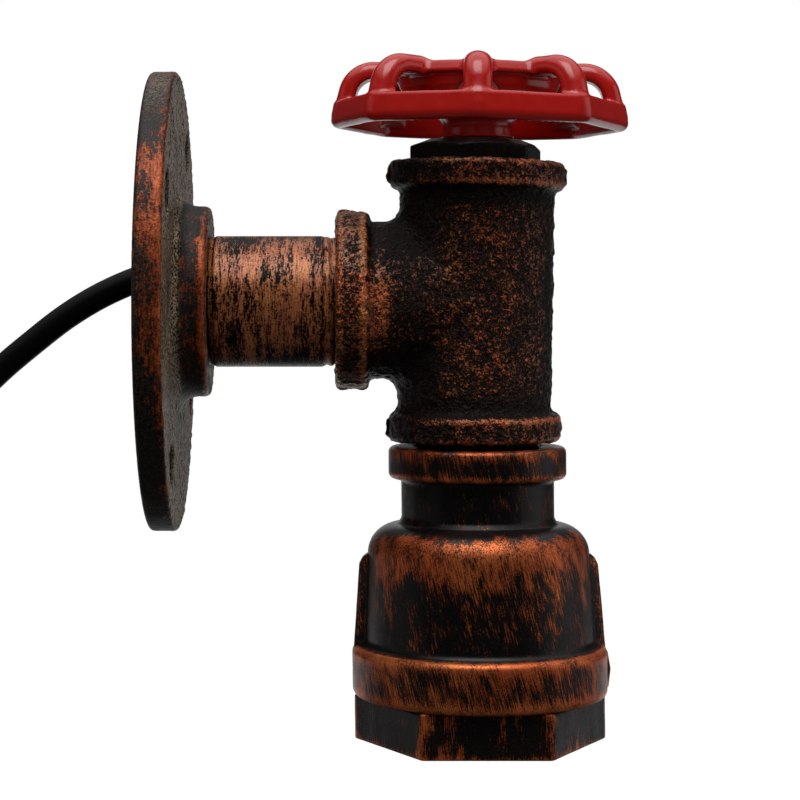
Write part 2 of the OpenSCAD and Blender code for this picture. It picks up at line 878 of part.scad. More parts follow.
// Two fixed contacts: a rivet head under the rotor, a stem, and a terminal block below.
module switch_contacts() {
    head_h = rotor_z - blade_t - blade_gap - switch_z - base_t;
    color(brass)
    for (side = [-1, 1])
        translate([arm_reach + side * contact_x, 0, switch_z]) {
            translate([0, 0, base_t])
            cylinder(h = head_h, d = contact_head_d);
            translate([0, 0, -eps])
            cylinder(h = base_t + 2 * eps, d = contact_stem_d);
            difference() {
                translate([-contact_block[0] / 2, -contact_block[1] / 2, -contact_block[2]])
                cube(contact_block);
                translate([0, -contact_screw_y, -contact_block[2] - 1])
                cylinder(h = 1 + small_screw_h, d = small_screw_d + 0.1);
            }
        }
}

module switch_screws() {
    for (side = [-1, 1])
        translate([
            arm_reach + side * contact_x, -contact_screw_y, switch_z - contact_block[2]
        ])
        mirror([0, 0, 1])
        small_screw();
}

// Slotted terminal screw: its head stands on zero, its shank reaches down.
module small_screw() {
    color(steel)
    difference() {
        union() {
            cylinder(h = small_head_h, d = small_screw_d + 0.8);
            translate([0, 0, -small_screw_h + 0.2])
            cylinder(h = small_screw_h, d = small_screw_d);
        }
        translate([-small_screw_d, -slot_w / 2, small_head_h / 2])
        cube([2 * small_screw_d, slot_w, small_head_h]);
    }
}

module hanger_disc() {
    color(steel)
    translate([arm_reach, 0, disc_z])
    difference() {
        cylinder(h = disc_t, d = thread_d);
        translate([0, 0, -1])
        cylinder(h = disc_t + 2, d = hanger_d + 2 * thread_fit);
    }
}

module earth_ring() {
    tab_y = 8.6;
    tab_w = 3.2;
    post_h = 5;
    washer_part_d = 15;
    color(brass)
    translate([arm_reach, 0, run_end_z])
    difference() {
        union() {
            cylinder(h = ring_tag_t, d = washer_part_d);
            translate([-tab_w / 2, 0, 0])
            cube([tab_w, tab_y + 1, ring_tag_t]);
            translate([0, tab_y, 0])
            cylinder(h = post_h, d = core_d);
        }
        translate([0, 0, -1])
        cylinder(h = ring_tag_t + 2, d = hanger_d + 2 * thread_fit);
    }
}

// Nuts above and below the disc.
module hanger_nut() {
    color(brass)
    for (z = [run_end_z + ring_tag_t, disc_z - hanger_nut_h])
        translate([arm_reach, 0, z])
        difference() {
            cylinder(h = hanger_nut_h, r = hanger_nut_af / 2 / cos(30), $fn = 6);
            translate([0, 0, -1])
            cylinder(h = hanger_nut_h + 2, d = hanger_d + 2 * thread_fit);
        }
}

module hanger_tube() {
    thread_over = 0.6;
    cap_grip = 4.4;
    top_z = run_end_z + ring_tag_t + hanger_nut_h + thread_over;
    low_z = cap_top_z - cap_grip;
    color(brass)
    translate([arm_reach, 0, low_z])
    difference() {
        cylinder(h = top_z - low_z, d = hanger_d);
        translate([0, 0, -1])
        cylinder(h = top_z - low_z + 2, d = hanger_bore_d);
    }
}

module holder_cap() {
    edge_h = 0.9;
    brow = 0.6;
    neck_wall = 3;
    neck_top_wall = 2.4;
    neck_edge_h = 1.6;
    room_wall = 3;
    room_rim_h = 0.2;
    roof_t = 3.4;
    color(porcelain)
    translate([arm_reach, 0, holder_top_z])
    difference() {
        rotate_extrude()
        polygon([
            [0, 0], [holder_d / 2, 0], [holder_d / 2 - brow, edge_h],
            [hanger_d / 2 + neck_wall, cap_h - neck_edge_h],
            [hanger_d / 2 + neck_top_wall, cap_h], [0, cap_h]
        ]);
        translate([0, 0, -1])
        cylinder(h = cap_h + 2, d = hanger_d + 2 * thread_fit);
        rotate_extrude()
        polygon([
            [0, -1], [holder_d / 2 - room_wall, -1], [holder_d / 2 - room_wall, room_rim_h],
            [hanger_d / 2 + 1.6, cap_h - roof_t], [0, cap_h - roof_t]
        ]);
    }
}

module holder_body() {
    color(porcelain)
    translate([arm_reach, 0, holder_z])
    difference() {
        rotate_extrude()
        rounded_side(holder_d / 2, holder_top_z - holder_z, 0.8);
        translate([0, 0, -1])
        cylinder(h = well_h + 1, d = well_d);
        translate([0, 0, well_h + floor_t])
        cylinder(h = chamber_h + 1, d = holder_d - 6);
        for (side = [-1, 1])
            translate([side * terminal_x, 0, well_h - 1])
            cylinder(h = floor_t + 2, d = rivet_d + rivet_fit);
    }
}

module holder_shell() {
    start = 1.2;
    collar_d = well_d - 0.1;
    leg_x = shell_bore_d / 2 + shell_t;
    color(brass)
    translate([arm_reach, 0, holder_z])
    difference() {
        union() {
            difference() {
                union() {
                    translate([0, 0, start])
                    cylinder(h = shell_h - start, d = shell_bore_d + 2 * shell_t);
                    for (z = [start, shell_h - shell_t])
                        translate([0, 0, z])
                        cylinder(h = shell_t, d = collar_d);
                }
                translate([0, 0, -1])
                cylinder(h = well_h + 2, d = shell_bore_d);
            }
            translate([-leg_x, -strip_w / 2, shell_h - shell_t])
            cube([shell_t, strip_w, well_h - shell_h + shell_t]);
            translate([-leg_x, -strip_w / 2, well_h - strip_t])
            cube([leg_x - terminal_x + 2, strip_w, strip_t]);
        }
        translate([-terminal_x, 0, well_h - 1])
        cylinder(h = 2, d = rivet_d + rivet_fit);
    }
}

// Spring tongue at the bottom of the well, which meets the lamp's centre contact.
module holder_contact() {
    root_x = -4.5;
    color(brass)
    translate([arm_reach, 0, holder_z + well_h]) {
        difference() {
            translate([root_x, -strip_w / 2, -strip_t])
            cube([terminal_x + 2 - root_x, strip_w, strip_t]);
            translate([terminal_x, 0, -1])
            cylinder(h = 2, d = rivet_d + rivet_fit);
        }
        rotate([90, 0, 0])
        translate([0, 0, -strip_w / 2])
        linear_extrude(strip_w)
        polygon([
            [root_x, -strip_t + eps], [root_x, -2 * strip_t], [-1.4, -3.6], [1.6, -3.6],
            [1.6, -3.1], [-1.1, -3.1], [root_x + 1, -strip_t + eps]
        ]);
    }
}

// Two terminal blocks in the wiring chamber, each with a rivet down through the floor.
module holder_terminals() {
    color(brass)
    translate([arm_reach, 0, holder_z + well_h])
    for (side = [-1, 1])
        translate([side * terminal_x, 0, 0]) {
            translate([0, 0, -strip_t - eps])
            cylinder(h = floor_t + strip_t + 2 * eps, d = rivet_d);
            translate([0, 0, -strip_t - rivet_head_h])
            cylinder(h = rivet_head_h, d = rivet_d + 1.5);
            difference() {
                translate([-terminal_block[0] / 2, -terminal_block[1] / 2, floor_t])
                cube(terminal_block);
                translate([0, side * terminal_screw_y, floor_t + terminal_block[2] - small_screw_h])
                cylinder(h = small_screw_h + 1, d = small_screw_d + 0.1);
            }
        }
}

module holder_screws() {
    block_top_z = holder_z + well_h + floor_t + terminal_block[2];
    for (side = [-1, 1])
        translate([arm_reach + side * terminal_x, side * terminal_screw_y, block_top_z])
        small_screw();
}

// Split collar clamped on the cord: it bears on the nipple's inner end when the cord is pulled.
module cord_anchor() {
    color(phenolic)
    translate([anchor_x, 0, 0])
    difference() {
        rotate([0, 90, 0])
        cylinder(h = anchor_w, d = anchor_d);
        translate([-1, 0, 0])
        rotate([0, 90, 0])
        cylinder(h = anchor_w + 2, d = cord_d + 0.1);
        translate([-1, -anchor_d, -anchor_split / 2])
        cube([anchor_w + 2, 2 * anchor_d, anchor_split]);
        for (side = [-1, 1])
            translate([anchor_w / 2, side * anchor_screw_y, 0]) {
                translate([0, 0, -anchor_d])
                cylinder(h = 2 * anchor_d, d = anchor_screw_d + 0.1);
                translate([0, 0, anchor_seat_z])
                cylinder(h = anchor_d, d = anchor_screw_d + 2.1);
            }
    }
}

module anchor_screws() {
    head_h = 1.8;
    color(steel)
    for (side = [-1, 1])
        translate([anchor_x + anchor_w / 2, side * anchor_screw_y, anchor_seat_z])
        difference() {
            union() {
                translate([0, 0, -2 * anchor_seat_z - 1])
                cylinder(h = 2 * anchor_seat_z + 1 + eps, d = anchor_screw_d);
                cylinder(h = head_h, d = anchor_screw_d + 1.9);
            }
            translate([-anchor_screw_d, -slot_w / 2, head_h / 2])
            cube([2 * anchor_screw_d, slot_w, head_h]);
        }
}

module cord_inside() {
    color(cord_black)
    tube(inside_points, cord_d / 2, cord_sides);
}

module core_live() {
    color(core_brown)
    translate([arm_reach, 0, 0])
    tube(live_points, core_d / 2, core_sides);
}

module core_neutral() {
    color(core_blue)
    translate([arm_reach, 0, 0])
    tube(neutral_points, core_d / 2, core_sides);
}

module core_earth() {
    color(core_green)
    translate([arm_reach, 0, 0])
    tube(earth_points, core_d / 2, core_sides);
}

module core_switched() {
    color(core_brown)
    translate([arm_reach, 0, 0])
    tube(switched_points, core_d / 2, core_sides);
}

module supply_cord() {
    color(cord_black)
    tube(cord_points, cord_d / 2, cord_sides);
}

module tail_live() {
    color(core_brown)
    tube(tail_live_points, core_d / 2, core_sides);
}

module tail_neutral() {
    color(core_blue)
    tube(tail_neutral_points, core_d / 2, core_sides);
}

module tail_earth() {
    color(core_green)
    tube(tail_earth_points, core_d / 2, core_sides);
}

// Crimped end sleeves on the three bared cores.
module tail_ferrules() {
    color(steel)
    for (path = [tail_live_points, tail_neutral_points, tail_earth_points])
        let (last = path[len(path) - 1], way = unit(last - path[len(path) - 2]))
        tube([last, last + way * ferrule_h], ferrule_d / 2, core_sides);
}

// Rectangle from the axis, with its outer corners rounded.
module rounded_side(w, h, r) {
    square([w - r, h]);
    translate([0, r])
    square([w, h - 2 * r]);
    for (z = [r, h - r])
        translate([w - r, z])
        circle(r = r);
}

// Concave fillet outside a wall at x = w, standing on a floor at height z.
module inner_fillet(w, z, r) {
    translate([w - eps, z - eps])
    difference() {
        square(r + eps);
        translate([r + eps, r + eps])
        circle(r = r);
    }
}

function unit(v) = v / norm(v);

function heading(p, i) = unit(p[min(i + 1, len(p) - 1)] - p[max(i - 1, 0)]);

// Round tube along a path that nowhere runs along Y.
module tube(path, r, sides) {
    skin([
        for (i = [0 : len(path) - 1])
            let (way = heading(path, i), u = unit(cross([0, 1, 0], way)), v = cross(way, u))
            [for (k = [0 : sides - 1]) path[i] + r * (u * cos(360 * k / sides) + v * sin(360 * k / sides))]
    ]);
}

// Closed solid over a row of rings with equal numbers of points.
module skin(rings) {
    count = len(rings[0]);
    last = len(rings) - 1;
    polyhedron(
        points = [for (ring = rings) each ring],
        faces = concat(
            [[for (k = [0 : count - 1]) k]],
            [
                for (i = [0 : last - 1], k = [0 : count - 1])
                    each let (
                        a = i * count + k, b = i * count + (k + 1) % count,
                        c = b + count, d = a + count
                    )
                    [[a, d, c], [a, c, b]]
            ],
            [[for (k = [count - 1 : -1 : 0]) last * count + k]]
        )
    );
}

wall_flange();
arm_nipple();
tee();
run_nipple();
bell();
hex_bushing();
top_plug();
handwheel();
spindle();
wheel_washer();
wheel_nut();
switch_bushing();
switch_jam_nut();
switch_housing();
switch_base();
switch_rotor();
switch_blade();
switch_contacts();
switch_screws();
hanger_disc();
hanger_tube();
hanger_nut();
earth_ring();
holder_cap();
holder_body();
holder_shell();
holder_contact();
holder_terminals();
holder_screws();
cord_anchor();
anchor_screws();
cord_inside();
core_live();
core_neutral();
core_earth();
core_switched();
supply_cord();
tail_live();
tail_neutral();
tail_earth();
tail_ferrules();
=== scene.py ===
# Wall light of threaded iron pipe fittings: black lacquer rubbed over with copper, red valve wheel.
# Lengths in the settings are millimetres in the frame's own axes; meshes are made in metres.
import bpy
import bmesh
import math
import numpy as np
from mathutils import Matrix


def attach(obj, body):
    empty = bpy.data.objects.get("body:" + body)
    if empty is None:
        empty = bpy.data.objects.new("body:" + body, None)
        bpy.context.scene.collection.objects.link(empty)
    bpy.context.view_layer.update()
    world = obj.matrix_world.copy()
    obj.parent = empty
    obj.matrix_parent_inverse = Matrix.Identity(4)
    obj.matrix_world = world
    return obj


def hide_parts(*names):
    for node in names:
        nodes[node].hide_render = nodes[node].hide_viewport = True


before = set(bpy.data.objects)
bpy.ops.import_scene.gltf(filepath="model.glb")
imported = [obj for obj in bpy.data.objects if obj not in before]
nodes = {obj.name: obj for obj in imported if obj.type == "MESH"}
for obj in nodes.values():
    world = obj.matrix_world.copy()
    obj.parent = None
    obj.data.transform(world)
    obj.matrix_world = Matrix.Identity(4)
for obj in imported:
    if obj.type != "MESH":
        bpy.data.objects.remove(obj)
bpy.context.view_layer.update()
mm = 0.001
tau = 2 * math.pi
baseBody, wheelBody = "light_body", "wheel_and_rotor"
print("frame loaded")


# Camera: level, along +Y, with a shifted lens as the photograph's crop needs.
cameraSet = {"place": (39.03, -441.6, -0.1), "lens": 96.56, "shift": (0.0716, -0.1226)}
cameraData = bpy.data.cameras.new("camera")
cameraData.lens = cameraSet["lens"]
cameraData.sensor_width = 36
cameraData.shift_x, cameraData.shift_y = cameraSet["shift"]
cameraData.clip_start = 0.01
camera = bpy.data.objects.new("camera", cameraData)
camera.location = [v * mm for v in cameraSet["place"]]
camera.rotation_euler = (math.pi / 2, 0, 0)
bpy.context.scene.collection.objects.link(camera)
bpy.context.scene.camera = camera
print("camera made")


# Four-sided faces over a grid of points; a closed direction joins its end to its start.
def gridFaces(rows, columns, closeRows, closeColumns, offset=0):
    ids = offset + np.arange(rows * columns).reshape(rows, columns)
    if closeRows:
        ids = np.vstack([ids, ids[:1]])
    if closeColumns:
        ids = np.hstack([ids, ids[:, :1]])
    return np.stack([ids[:-1, :-1], ids[1:, :-1], ids[1:, 1:], ids[:-1, 1:]], -1).reshape(-1, 4)


# Several grids (points, closeRows, closeColumns) as one list of points and faces.
def joinGrids(grids):
    points, faces, offset = [], [], 0
    for grid, closeRows, closeColumns in grids:
        rows, columns = grid.shape[:2]
        points.append(grid.reshape(-1, 3))
        faces.append(gridFaces(rows, columns, closeRows, closeColumns, offset))
        offset += rows * columns
    return np.vstack(points), np.vstack(faces)


# One object out of points in mm and faces, turned so that its faces look outwards. Fields are values or
# vectors at its points, for the material.
def buildPiece(name, points, faces, material, body, replaced=(), slot=None, fields=None, weld=False):
    mesh = bpy.data.meshes.new(name)
    mesh.from_pydata((points * mm).tolist(), [], faces.tolist())
    for key, values in (fields or {}).items():
        kind, socket = ("FLOAT", "value") if np.ndim(values) == 1 else ("FLOAT_VECTOR", "vector")
        mesh.attributes.new(key, kind, "POINT").data.foreach_set(socket, np.ravel(values))
    piece = bpy.data.objects.new(name, mesh)
    bpy.context.scene.collection.objects.link(piece)
    if weld:
        work = bmesh.new()
        work.from_mesh(mesh)
        bmesh.ops.remove_doubles(work, verts=work.verts, dist=1e-6)
        work.to_mesh(mesh)
        work.free()
    if signedVolume(mesh) < 0:
        mesh.flip_normals()
    mesh.polygons.foreach_set("use_smooth", [True] * len(mesh.polygons))
    mesh.materials.append(material)
    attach(piece, body)
    if replaced:
        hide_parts(*replaced)
    print(name, len(mesh.vertices), "points")
    return piece


# Sum of the pyramids from the origin to each triangle, over six.
def signedVolume(mesh):
    points = np.empty(len(mesh.vertices) * 3)
    mesh.vertices.foreach_get("co", points)
    mesh.calc_loop_triangles()
    corners = np.empty(len(mesh.loop_triangles) * 3, int)
    mesh.loop_triangles.foreach_get("vertices", corners)
    a, b, c = points.reshape(-1, 3)[corners.reshape(-1, 3)].transpose(1, 0, 2)
    return float(np.einsum("ij,ij->", a, np.cross(b, c)) / 6)


# Points on a circle's arc in the (r, z) plane: centre plus radius times (cos, sin), degrees from +r.
def arc(centre, radius, start, end, steps=6):
    t = np.radians(np.linspace(start, end, steps + 1))
    return np.c_[centre[0] + radius * np.cos(t), centre[1] + radius * np.sin(t)]


# The same outline with its points at most a step apart, its own corners kept.
def evenly(outline, step):
    outline = np.asarray(outline, float)
    out = []
    for a, b in zip(outline[:-1], outline[1:]):
        count = max(1, int(math.ceil(np.linalg.norm(b - a) / step)))
        out.append(a + (b - a) * np.linspace(0, 1, count, endpoint=False)[:, None])
    return np.vstack(out + [outline[-1:]])


# Directions of so many equal steps round a circle, as one row.
def fullTurn(count):
    return np.linspace(0, tau, count, endpoint=False)[None, :]


# Outline (r, along) carried round the upright axis at x = centre, or round the arm's axis.
def around(r, along, turns, axis, centre=0.0):
    a, b, c = r * np.cos(turns), r * np.sin(turns), along + 0 * turns
    return np.stack((a + centre, b, c) if axis == "z" else (c, a, b), -1)


# Soft random field from 0 to 1: values on a lattice of the given cell in mm, which repeats after 32
# cells, blended by quintic weights.
def cloud(points, cell, seed):
    lattice = np.random.RandomState(seed).rand(32, 32, 32)
    p = points / np.asarray(cell, float) + 1000
    low = np.floor(p).astype(int)
    f = p - low
    f = f * f * f * (f * (6 * f - 15) + 10)
    value = 0
    for corner in np.ndindex(2, 2, 2):
        i = (low + corner) % 32
        weight = np.prod(np.where(corner, f, 1 - f), axis=-1)
        value = value + weight * lattice[i[..., 0], i[..., 1], i[..., 2]]
    return value


# Zero up to low, one from high, and between them three squares less two cubes of the share covered.
def smoothStep(low, high, x):
    t = np.clip((x - low) / (high - low), 0, 1)
    return t * t * (3 - 2 * t)


# Bell curve of height one about the middle, down to 1 / e at its width.
def hump(x, middle, width):
    return np.exp(-((x - middle) / width) ** 2)


# Smaller of two distances, less a quarter of the blend k times the squared share by which they are closer
# than k.
def softMin(a, b, k):
    h = np.maximum(k - np.abs(a - b), 0) / k
    return np.minimum(a, b) - h * h * k / 4


# Larger of two distances, blended in the same way.
def softMax(a, b, k):
    return -softMin(-a, -b, k)


# Distance to a rectangle with rounded corners: that to its half sizes less the corner's radius, less the
# radius.
def roundBox(a, b, halfA, halfB, radius):
    qa, qb = np.abs(a) - halfA + radius, np.abs(b) - halfB + radius
    return np.hypot(np.maximum(qa, 0), np.maximum(qb, 0)) + np.minimum(np.maximum(qa, qb), 0) - radius


# Skin of a solid given as a field that is negative inside: one point in each cell that the skin
# crosses, a face over each crossed edge, and each point then pulled along the slope onto zero.
def fieldSkin(field, low, high, cell):
    axes = [np.arange(a, b + cell, cell) for a, b in zip(low, high)]
    values = field(np.stack(np.meshgrid(*axes, indexing="ij"), -1))
    nx, ny, nz = values.shape
    corner = {}
    for a, b, c in np.ndindex(2, 2, 2):
        corner[a, b, c] = values[a:nx - 1 + a, b:ny - 1 + b, c:nz - 1 + c]
    below = sum((corner[c] < 0).astype(int) for c in corner)
    cells = np.argwhere((below > 0) & (below < 8))
    ids = np.full((nx - 1, ny - 1, nz - 1), -1)
    ids[tuple(cells.T)] = np.arange(len(cells))
    total, count = np.zeros((len(cells), 3)), np.zeros(len(cells))
    for a in corner:
        for axis in range(3):
            if a[axis]:
                continue
            b = tuple(1 if k == axis else a[k] for k in range(3))
            va, vb = corner[a][tuple(cells.T)], corner[b][tuple(cells.T)]
            crossed = (va < 0) != (vb < 0)
            share = np.where(crossed, va / np.where(crossed, va - vb, 1), 0)
            place = np.array(a, float) + np.eye(3)[axis] * share[:, None]
            total += place * crossed[:, None]
            count += crossed
    points = np.asarray(low) + (cells + total / count[:, None]) * cell
    faces = []
    for axis in range(3):
        u, v = (axis + 1) % 3, (axis + 2) % 3
        first = np.moveaxis(values, (axis, u, v), (0, 1, 2))
        index = np.moveaxis(ids, (axis, u, v), (0, 1, 2))
        a, b = first[:-1, 1:-1, 1:-1] < 0, first[1:, 1:-1, 1:-1] < 0
        ring = np.stack([index[:, :-1, :-1], index[:, 1:, :-1], index[:, 1:, 1:], index[:, :-1, 1:]], -1)
        faces += [ring[a & ~b], ring[~a & b][:, ::-1]]
    for again in range(4):
        slope = slopeOf(field, points)
        move = field(points)[:, None] * slope / np.maximum((slope ** 2).sum(1, keepdims=True), 0.2)
        points = points - np.clip(move, -0.6 * cell, 0.6 * cell)
    return points, np.vstack(faces)


# Slope of a field: its difference across a small reach along each axis, over the distance.
def slopeOf(field, points, reach=0.02):
    return np.stack([(field(points + d) - field(points - d)) / (2 * reach) for d in np.eye(3) * reach], -1)


# Each vector over its own length.
def unitRows(vectors):
    return vectors / np.linalg.norm(vectors, axis=-1, keepdims=True)


# Hex colour as painted, turned to linear light by the sRGB curve.
def srgb(code):
    parts = [int(code[i:i + 2], 16) / 255 for i in (1, 3, 5)]
    return tuple(p / 12.92 if p <= 0.04045 else ((p + 0.055) / 1.055) ** 2.4 for p in parts) + (1.0,)


# Gives a node's inputs, by name or in order, a number, a colour, or the socket they are linked from.
def fillIn(tree, node, inputs):
    for key, value in inputs.items() if isinstance(inputs, dict) else enumerate(inputs):
        if isinstance(value, bpy.types.NodeSocket):
            tree.links.new(value, node.inputs[key])
        else:
            node.inputs[key].default_value = value


# Adds one node and hands back the output to take, or the node itself where take is None.
def addNode(tree, kind, inputs=(), take=0, **settings):
    node = tree.nodes.new("ShaderNode" + kind)
    for key, value in settings.items():
        setattr(node, key, value)
    fillIn(tree, node, inputs)
    return node if take is None else node.outputs[take]


# Settings that several nodes share: a * b + c, a smooth step between two levels, a mix of two colours.
multiplyAdd = {"operation": "MULTIPLY_ADD"}
stepped = {"interpolation_type": "SMOOTHSTEP"}
coloured = {"take": 2, "data_type": "RGBA"}


# Empty material with one shader on its output.
def newMaterial(name):
    material = bpy.data.materials.new(name)
    material.use_nodes = True
    tree = material.node_tree
    tree.nodes.clear()
    shader = addNode(tree, "BsdfPrincipled", take=None)
    addNode(tree, "OutputMaterial", {"Surface": shader.outputs[0]}, None)
    return material, tree, shader


# Noise whose grains measure about size mm, made longer along each axis by stretch, and curled by swirl:
# its scale is one over the grain's size in metres.
def grains(tree, place, size, detail=3.0, rough=0.55, stretch=(1, 1, 1), swirl=0.0):
    place = addNode(tree, "Mapping", {"Vector": place, "Scale": [1 / (size * mm * s) for s in stretch]})
    settings = {"Vector": place, "Scale": 1.0, "Detail": detail, "Roughness": rough, "Distortion": swirl}
    return addNode(tree, "TexNoise", settings, "Fac")


# Cast iron in black lacquer, rubbed over with copper paste by hand: the paste stays on edges and high
# spots as satin metal, and the lacquer shows in hollows and between the brush marks. The piece's own
# rub value says how much paste a place took, and noise as long as the brush marks breaks it up with a
# hard edge. Each mark is brighter in its middle; round it lies a thin brown haze. Pale specks on the
# tops of the lacquer's grains are partly fine dust and partly painted glints, the grains' tiny highlights.
def copperRub(name, s):
    material, tree, shader = newMaterial(name)
    place = addNode(tree, "TexCoord", take="Object")
    along = addNode(tree, "Attribute", take="Vector", attribute_name="brushed") if s["twisted"] else place
    brush = grains(tree, along, s["mark"], 3.0, 0.5, s["stretch"], s["swirl"])
    grain = grains(tree, place, s["grain"], 1.0, 0.5)
    patch = grains(tree, along, s["patch"], 2.0, 0.5, s["patchStretch"])
    spark = grains(tree, place, s["spark"], 2.0, 0.6)
    # The level is the rub value plus a share of each noise; middle is what the noises add halfway.
    level = addNode(tree, "Attribute", take="Fac", attribute_name="rub")
    for noise, share in ((brush, s["markShare"]), (grain, s["grainShare"]), (patch, s["patchShare"])):
        level = addNode(tree, "Math", (noise, share, level), **multiplyAdd)
    middle = 0.5 * (s["markShare"] + s["grainShare"] + s["patchShare"])
    low, high = s["markEdge"]
    mask = addNode(tree, "MapRange", (level, middle + low, middle + high), **stepped)
    low, high = s["hazeEdge"]
    haze = addNode(tree, "MapRange", (level, middle + low, middle + high, 0.0, s["haze"]), **stepped)
    tone = addNode(tree, "Math", (spark, s["sparkShare"], level), **multiplyAdd)
    half = middle + 0.5 * s["sparkShare"]
    tone = addNode(tree, "MapRange", (tone, half + s["toneLow"], half + s["toneTop"]), **stepped)
    # pale specks where the fine noise peaks, on the raised grains: partly dust, partly painted glints
    dustAndGlint = (spark, s["dustAndGlintFrom"], s["dustAndGlintFrom"] + s["dustAndGlintEdge"], 0.0, s["dustAndGlint"])
    dustAndGlint = addNode(tree, "MapRange", dustAndGlint, **stepped)
    if s["dustGlintAndSheen"]:
        dustGlintAndSheen = addNode(tree, "Attribute", take="Fac", attribute_name="dustGlintAndSheen")
        dustAndGlint = addNode(tree, "Math", (dustAndGlint, dustGlintAndSheen), operation="MULTIPLY")
    ground = addNode(tree, "Mix", {0: dustAndGlint, 6: srgb(s["lacquer"]), 7: srgb(s["dustAndGlintColour"])}, **coloured)
    ground = addNode(tree, "Mix", {0: haze, 6: ground, 7: srgb(s["deep"])}, **coloured)
    golden = (grains(tree, place, s["goldPatch"], 1.0, 0.5), *s["goldEdge"], 0.0, s["gold"])
    golden = addNode(tree, "MapRange", golden, **stepped)
    bright = addNode(tree, "Mix", {0: golden, 6: srgb(s["bright"]), 7: srgb(s["goldColour"])}, **coloured)
    copper = addNode(tree, "Mix", {0: tone, 6: srgb(s["deep"]), 7: bright}, **coloured)
    spread = s["roughSpread"]
    rough = (mask, 0.0, 1.0, s["lacquerRough"] - spread / 2, s["copperRough"] - spread / 2)
    rough = addNode(tree, "MapRange", rough, **stepped)
    relief = grains(tree, place, s["relief"], 2.0, 0.5)
    for height, share in ((spark, s["sparkRelief"]), (brush, s["reliefShare"]), (mask, s["pasteShare"])):
        if share:
            relief = addNode(tree, "Math", (height, share, relief), **multiplyAdd)
    bump = addNode(tree, "Bump", {"Strength": 1.0, "Distance": s["depth"] * mm, "Height": relief})
    fillIn(tree, shader, {
        "Base Color": addNode(tree, "Mix", {0: mask, 6: ground, 7: copper}, **coloured),
        "Metallic": addNode(tree, "Math", (mask, s["metal"], 0.0), **multiplyAdd),
        "Roughness": addNode(tree, "Math", (grain, spread, rough), **multiplyAdd),
        "Specular IOR Level": s["gloss"], "Normal": bump})
    if s["coat"]:
        coat = addNode(tree, "Math", (mask, s["coat"], 0.0), **multiplyAdd)
        fillIn(tree, shader, {"Coat Weight": coat, "Coat Roughness": s["coatRough"]})
    return material


# Sizes are millimetres: real brush marks and sand grains are 0.1 to 0.3 mm and are drawn a little
# coarser, so that they show in the render.
rubSet = {
    "mark": 0.55, "stretch": (1, 1, 1), "swirl": 0.0, "markShare": 1.5, "grain": 0.42, "grainShare": 0.6,
    "patch": 5.0, "patchStretch": (1, 1, 1), "patchShare": 0.7, "markEdge": (0.46, 0.54), "twisted": False,
    "deep": "#3c1406", "bright": "#bc6034", "toneLow": 0.30, "toneTop": 1.15, "lacquer": "#040303",
    "haze": 0.22, "hazeEdge": (0.25, 0.50), "dustAndGlint": 0.30, "dustAndGlintColour": "#4a443c", "dustAndGlintFrom": 0.53,
    "dustAndGlintEdge": 0.14, "dustGlintAndSheen": False, "gold": 0.0, "goldPatch": 9.0, "goldColour": "#b87a42",
    "goldEdge": (0.42, 0.62), "metal": 0.62, "gloss": 0.22, "coat": 0.0, "coatRough": 0.35,
    "lacquerRough": 0.36, "copperRough": 0.38, "roughSpread": 0.12, "spark": 0.28, "sparkShare": 0.9,
    "relief": 0.5, "sparkRelief": 0.3, "reliefShare": 0.0, "pasteShare": 0.25, "depth": 0.05,
}
# Tee: coarse sand-cast skin, dabbed rather than stroked, so the copper lies in curled specks.
copperOnTee = copperRub("copperOnSandCastIron", {
    **rubSet, "mark": 0.62, "swirl": 1.1, "markShare": 1.9, "grain": 0.34, "grainShare": 0.8,
    "patchShare": 0.45, "relief": 0.6, "depth": 0.50, "reliefShare": 0.7, "dustAndGlint": 0.28,
    "dustAndGlintColour": "#5e4530", "haze": 0.45, "deep": "#3a1204", "bright": "#cf6f42", "toneTop": 1.25,
    "gloss": 0.09, "coat": 0.35, "lacquerRough": 0.34, "gold": 0.65})
# Bell: smooth skin, brushed in long strokes that lean a little.
copperOnBell = copperRub("copperOnSmoothIron", {
    **rubSet, "twisted": True, "mark": 0.22, "stretch": (1, 1, 15), "markShare": 2.2, "grain": 0.30,
    "grainShare": 0.60, "patch": 3.0, "patchStretch": (1, 1, 1.8), "patchShare": 1.3, "relief": 0.8,
    "depth": 0.03, "dustAndGlint": 0.1, "deep": "#341005", "bright": "#bc5c32", "toneTop": 1.25, "gold": 0.25,
    "goldPatch": 14.0})
# Pipe: drawn surface, rubbed round the pipe, so the strokes run round it.
copperOnPipe = copperRub("copperOnPipe", {
    **rubSet, "mark": 0.32, "stretch": (0.8, 6, 6), "markShare": 1.8, "grain": 0.40, "grainShare": 1.0,
    "patch": 2.5, "patchStretch": (0.6, 2, 2), "patchShare": 0.8, "deep": "#45190a", "bright": "#ad6640",
    "metal": 0.32, "coat": 0.38, "gloss": 0.06, "gold": 0.4, "copperRough": 0.44, "depth": 0.04})
# Flange: pale specks on its face, partly sandy grey dust, partly painted glints; copper only on rim and hub's
# edge.
copperOnFlange = copperRub("copperOnFlange", {
    **rubSet, "mark": 0.40, "stretch": (1, 4, 4), "grain": 0.4, "grainShare": 0.9, "patch": 4.0,
    "patchShare": 1.0, "relief": 0.7, "depth": 0.12, "spark": 0.45, "dustGlintAndSheen": True, "dustAndGlint": 1.0,
    "dustAndGlintFrom": 0.44, "dustAndGlintColour": "#8c7963", "lacquer": "#080606", "lacquerRough": 0.5,
    "deep": "#421303", "bright": "#9b4c26", "toneTop": 1.35, "gloss": 0.18, "metal": 0.34})
# Hexagons: machined faces, nearly black, with upright strokes by the corners.
copperOnHex = copperRub("copperOnHexagon", {
    **rubSet, "mark": 0.26, "stretch": (1, 1, 9), "markShare": 1.8, "grainShare": 0.6, "relief": 0.8,
    "depth": 0.03, "dustAndGlint": 0.14, "dustAndGlintFrom": 0.48, "gloss": 0.10, "haze": 0.30, "lacquer": "#080606"})


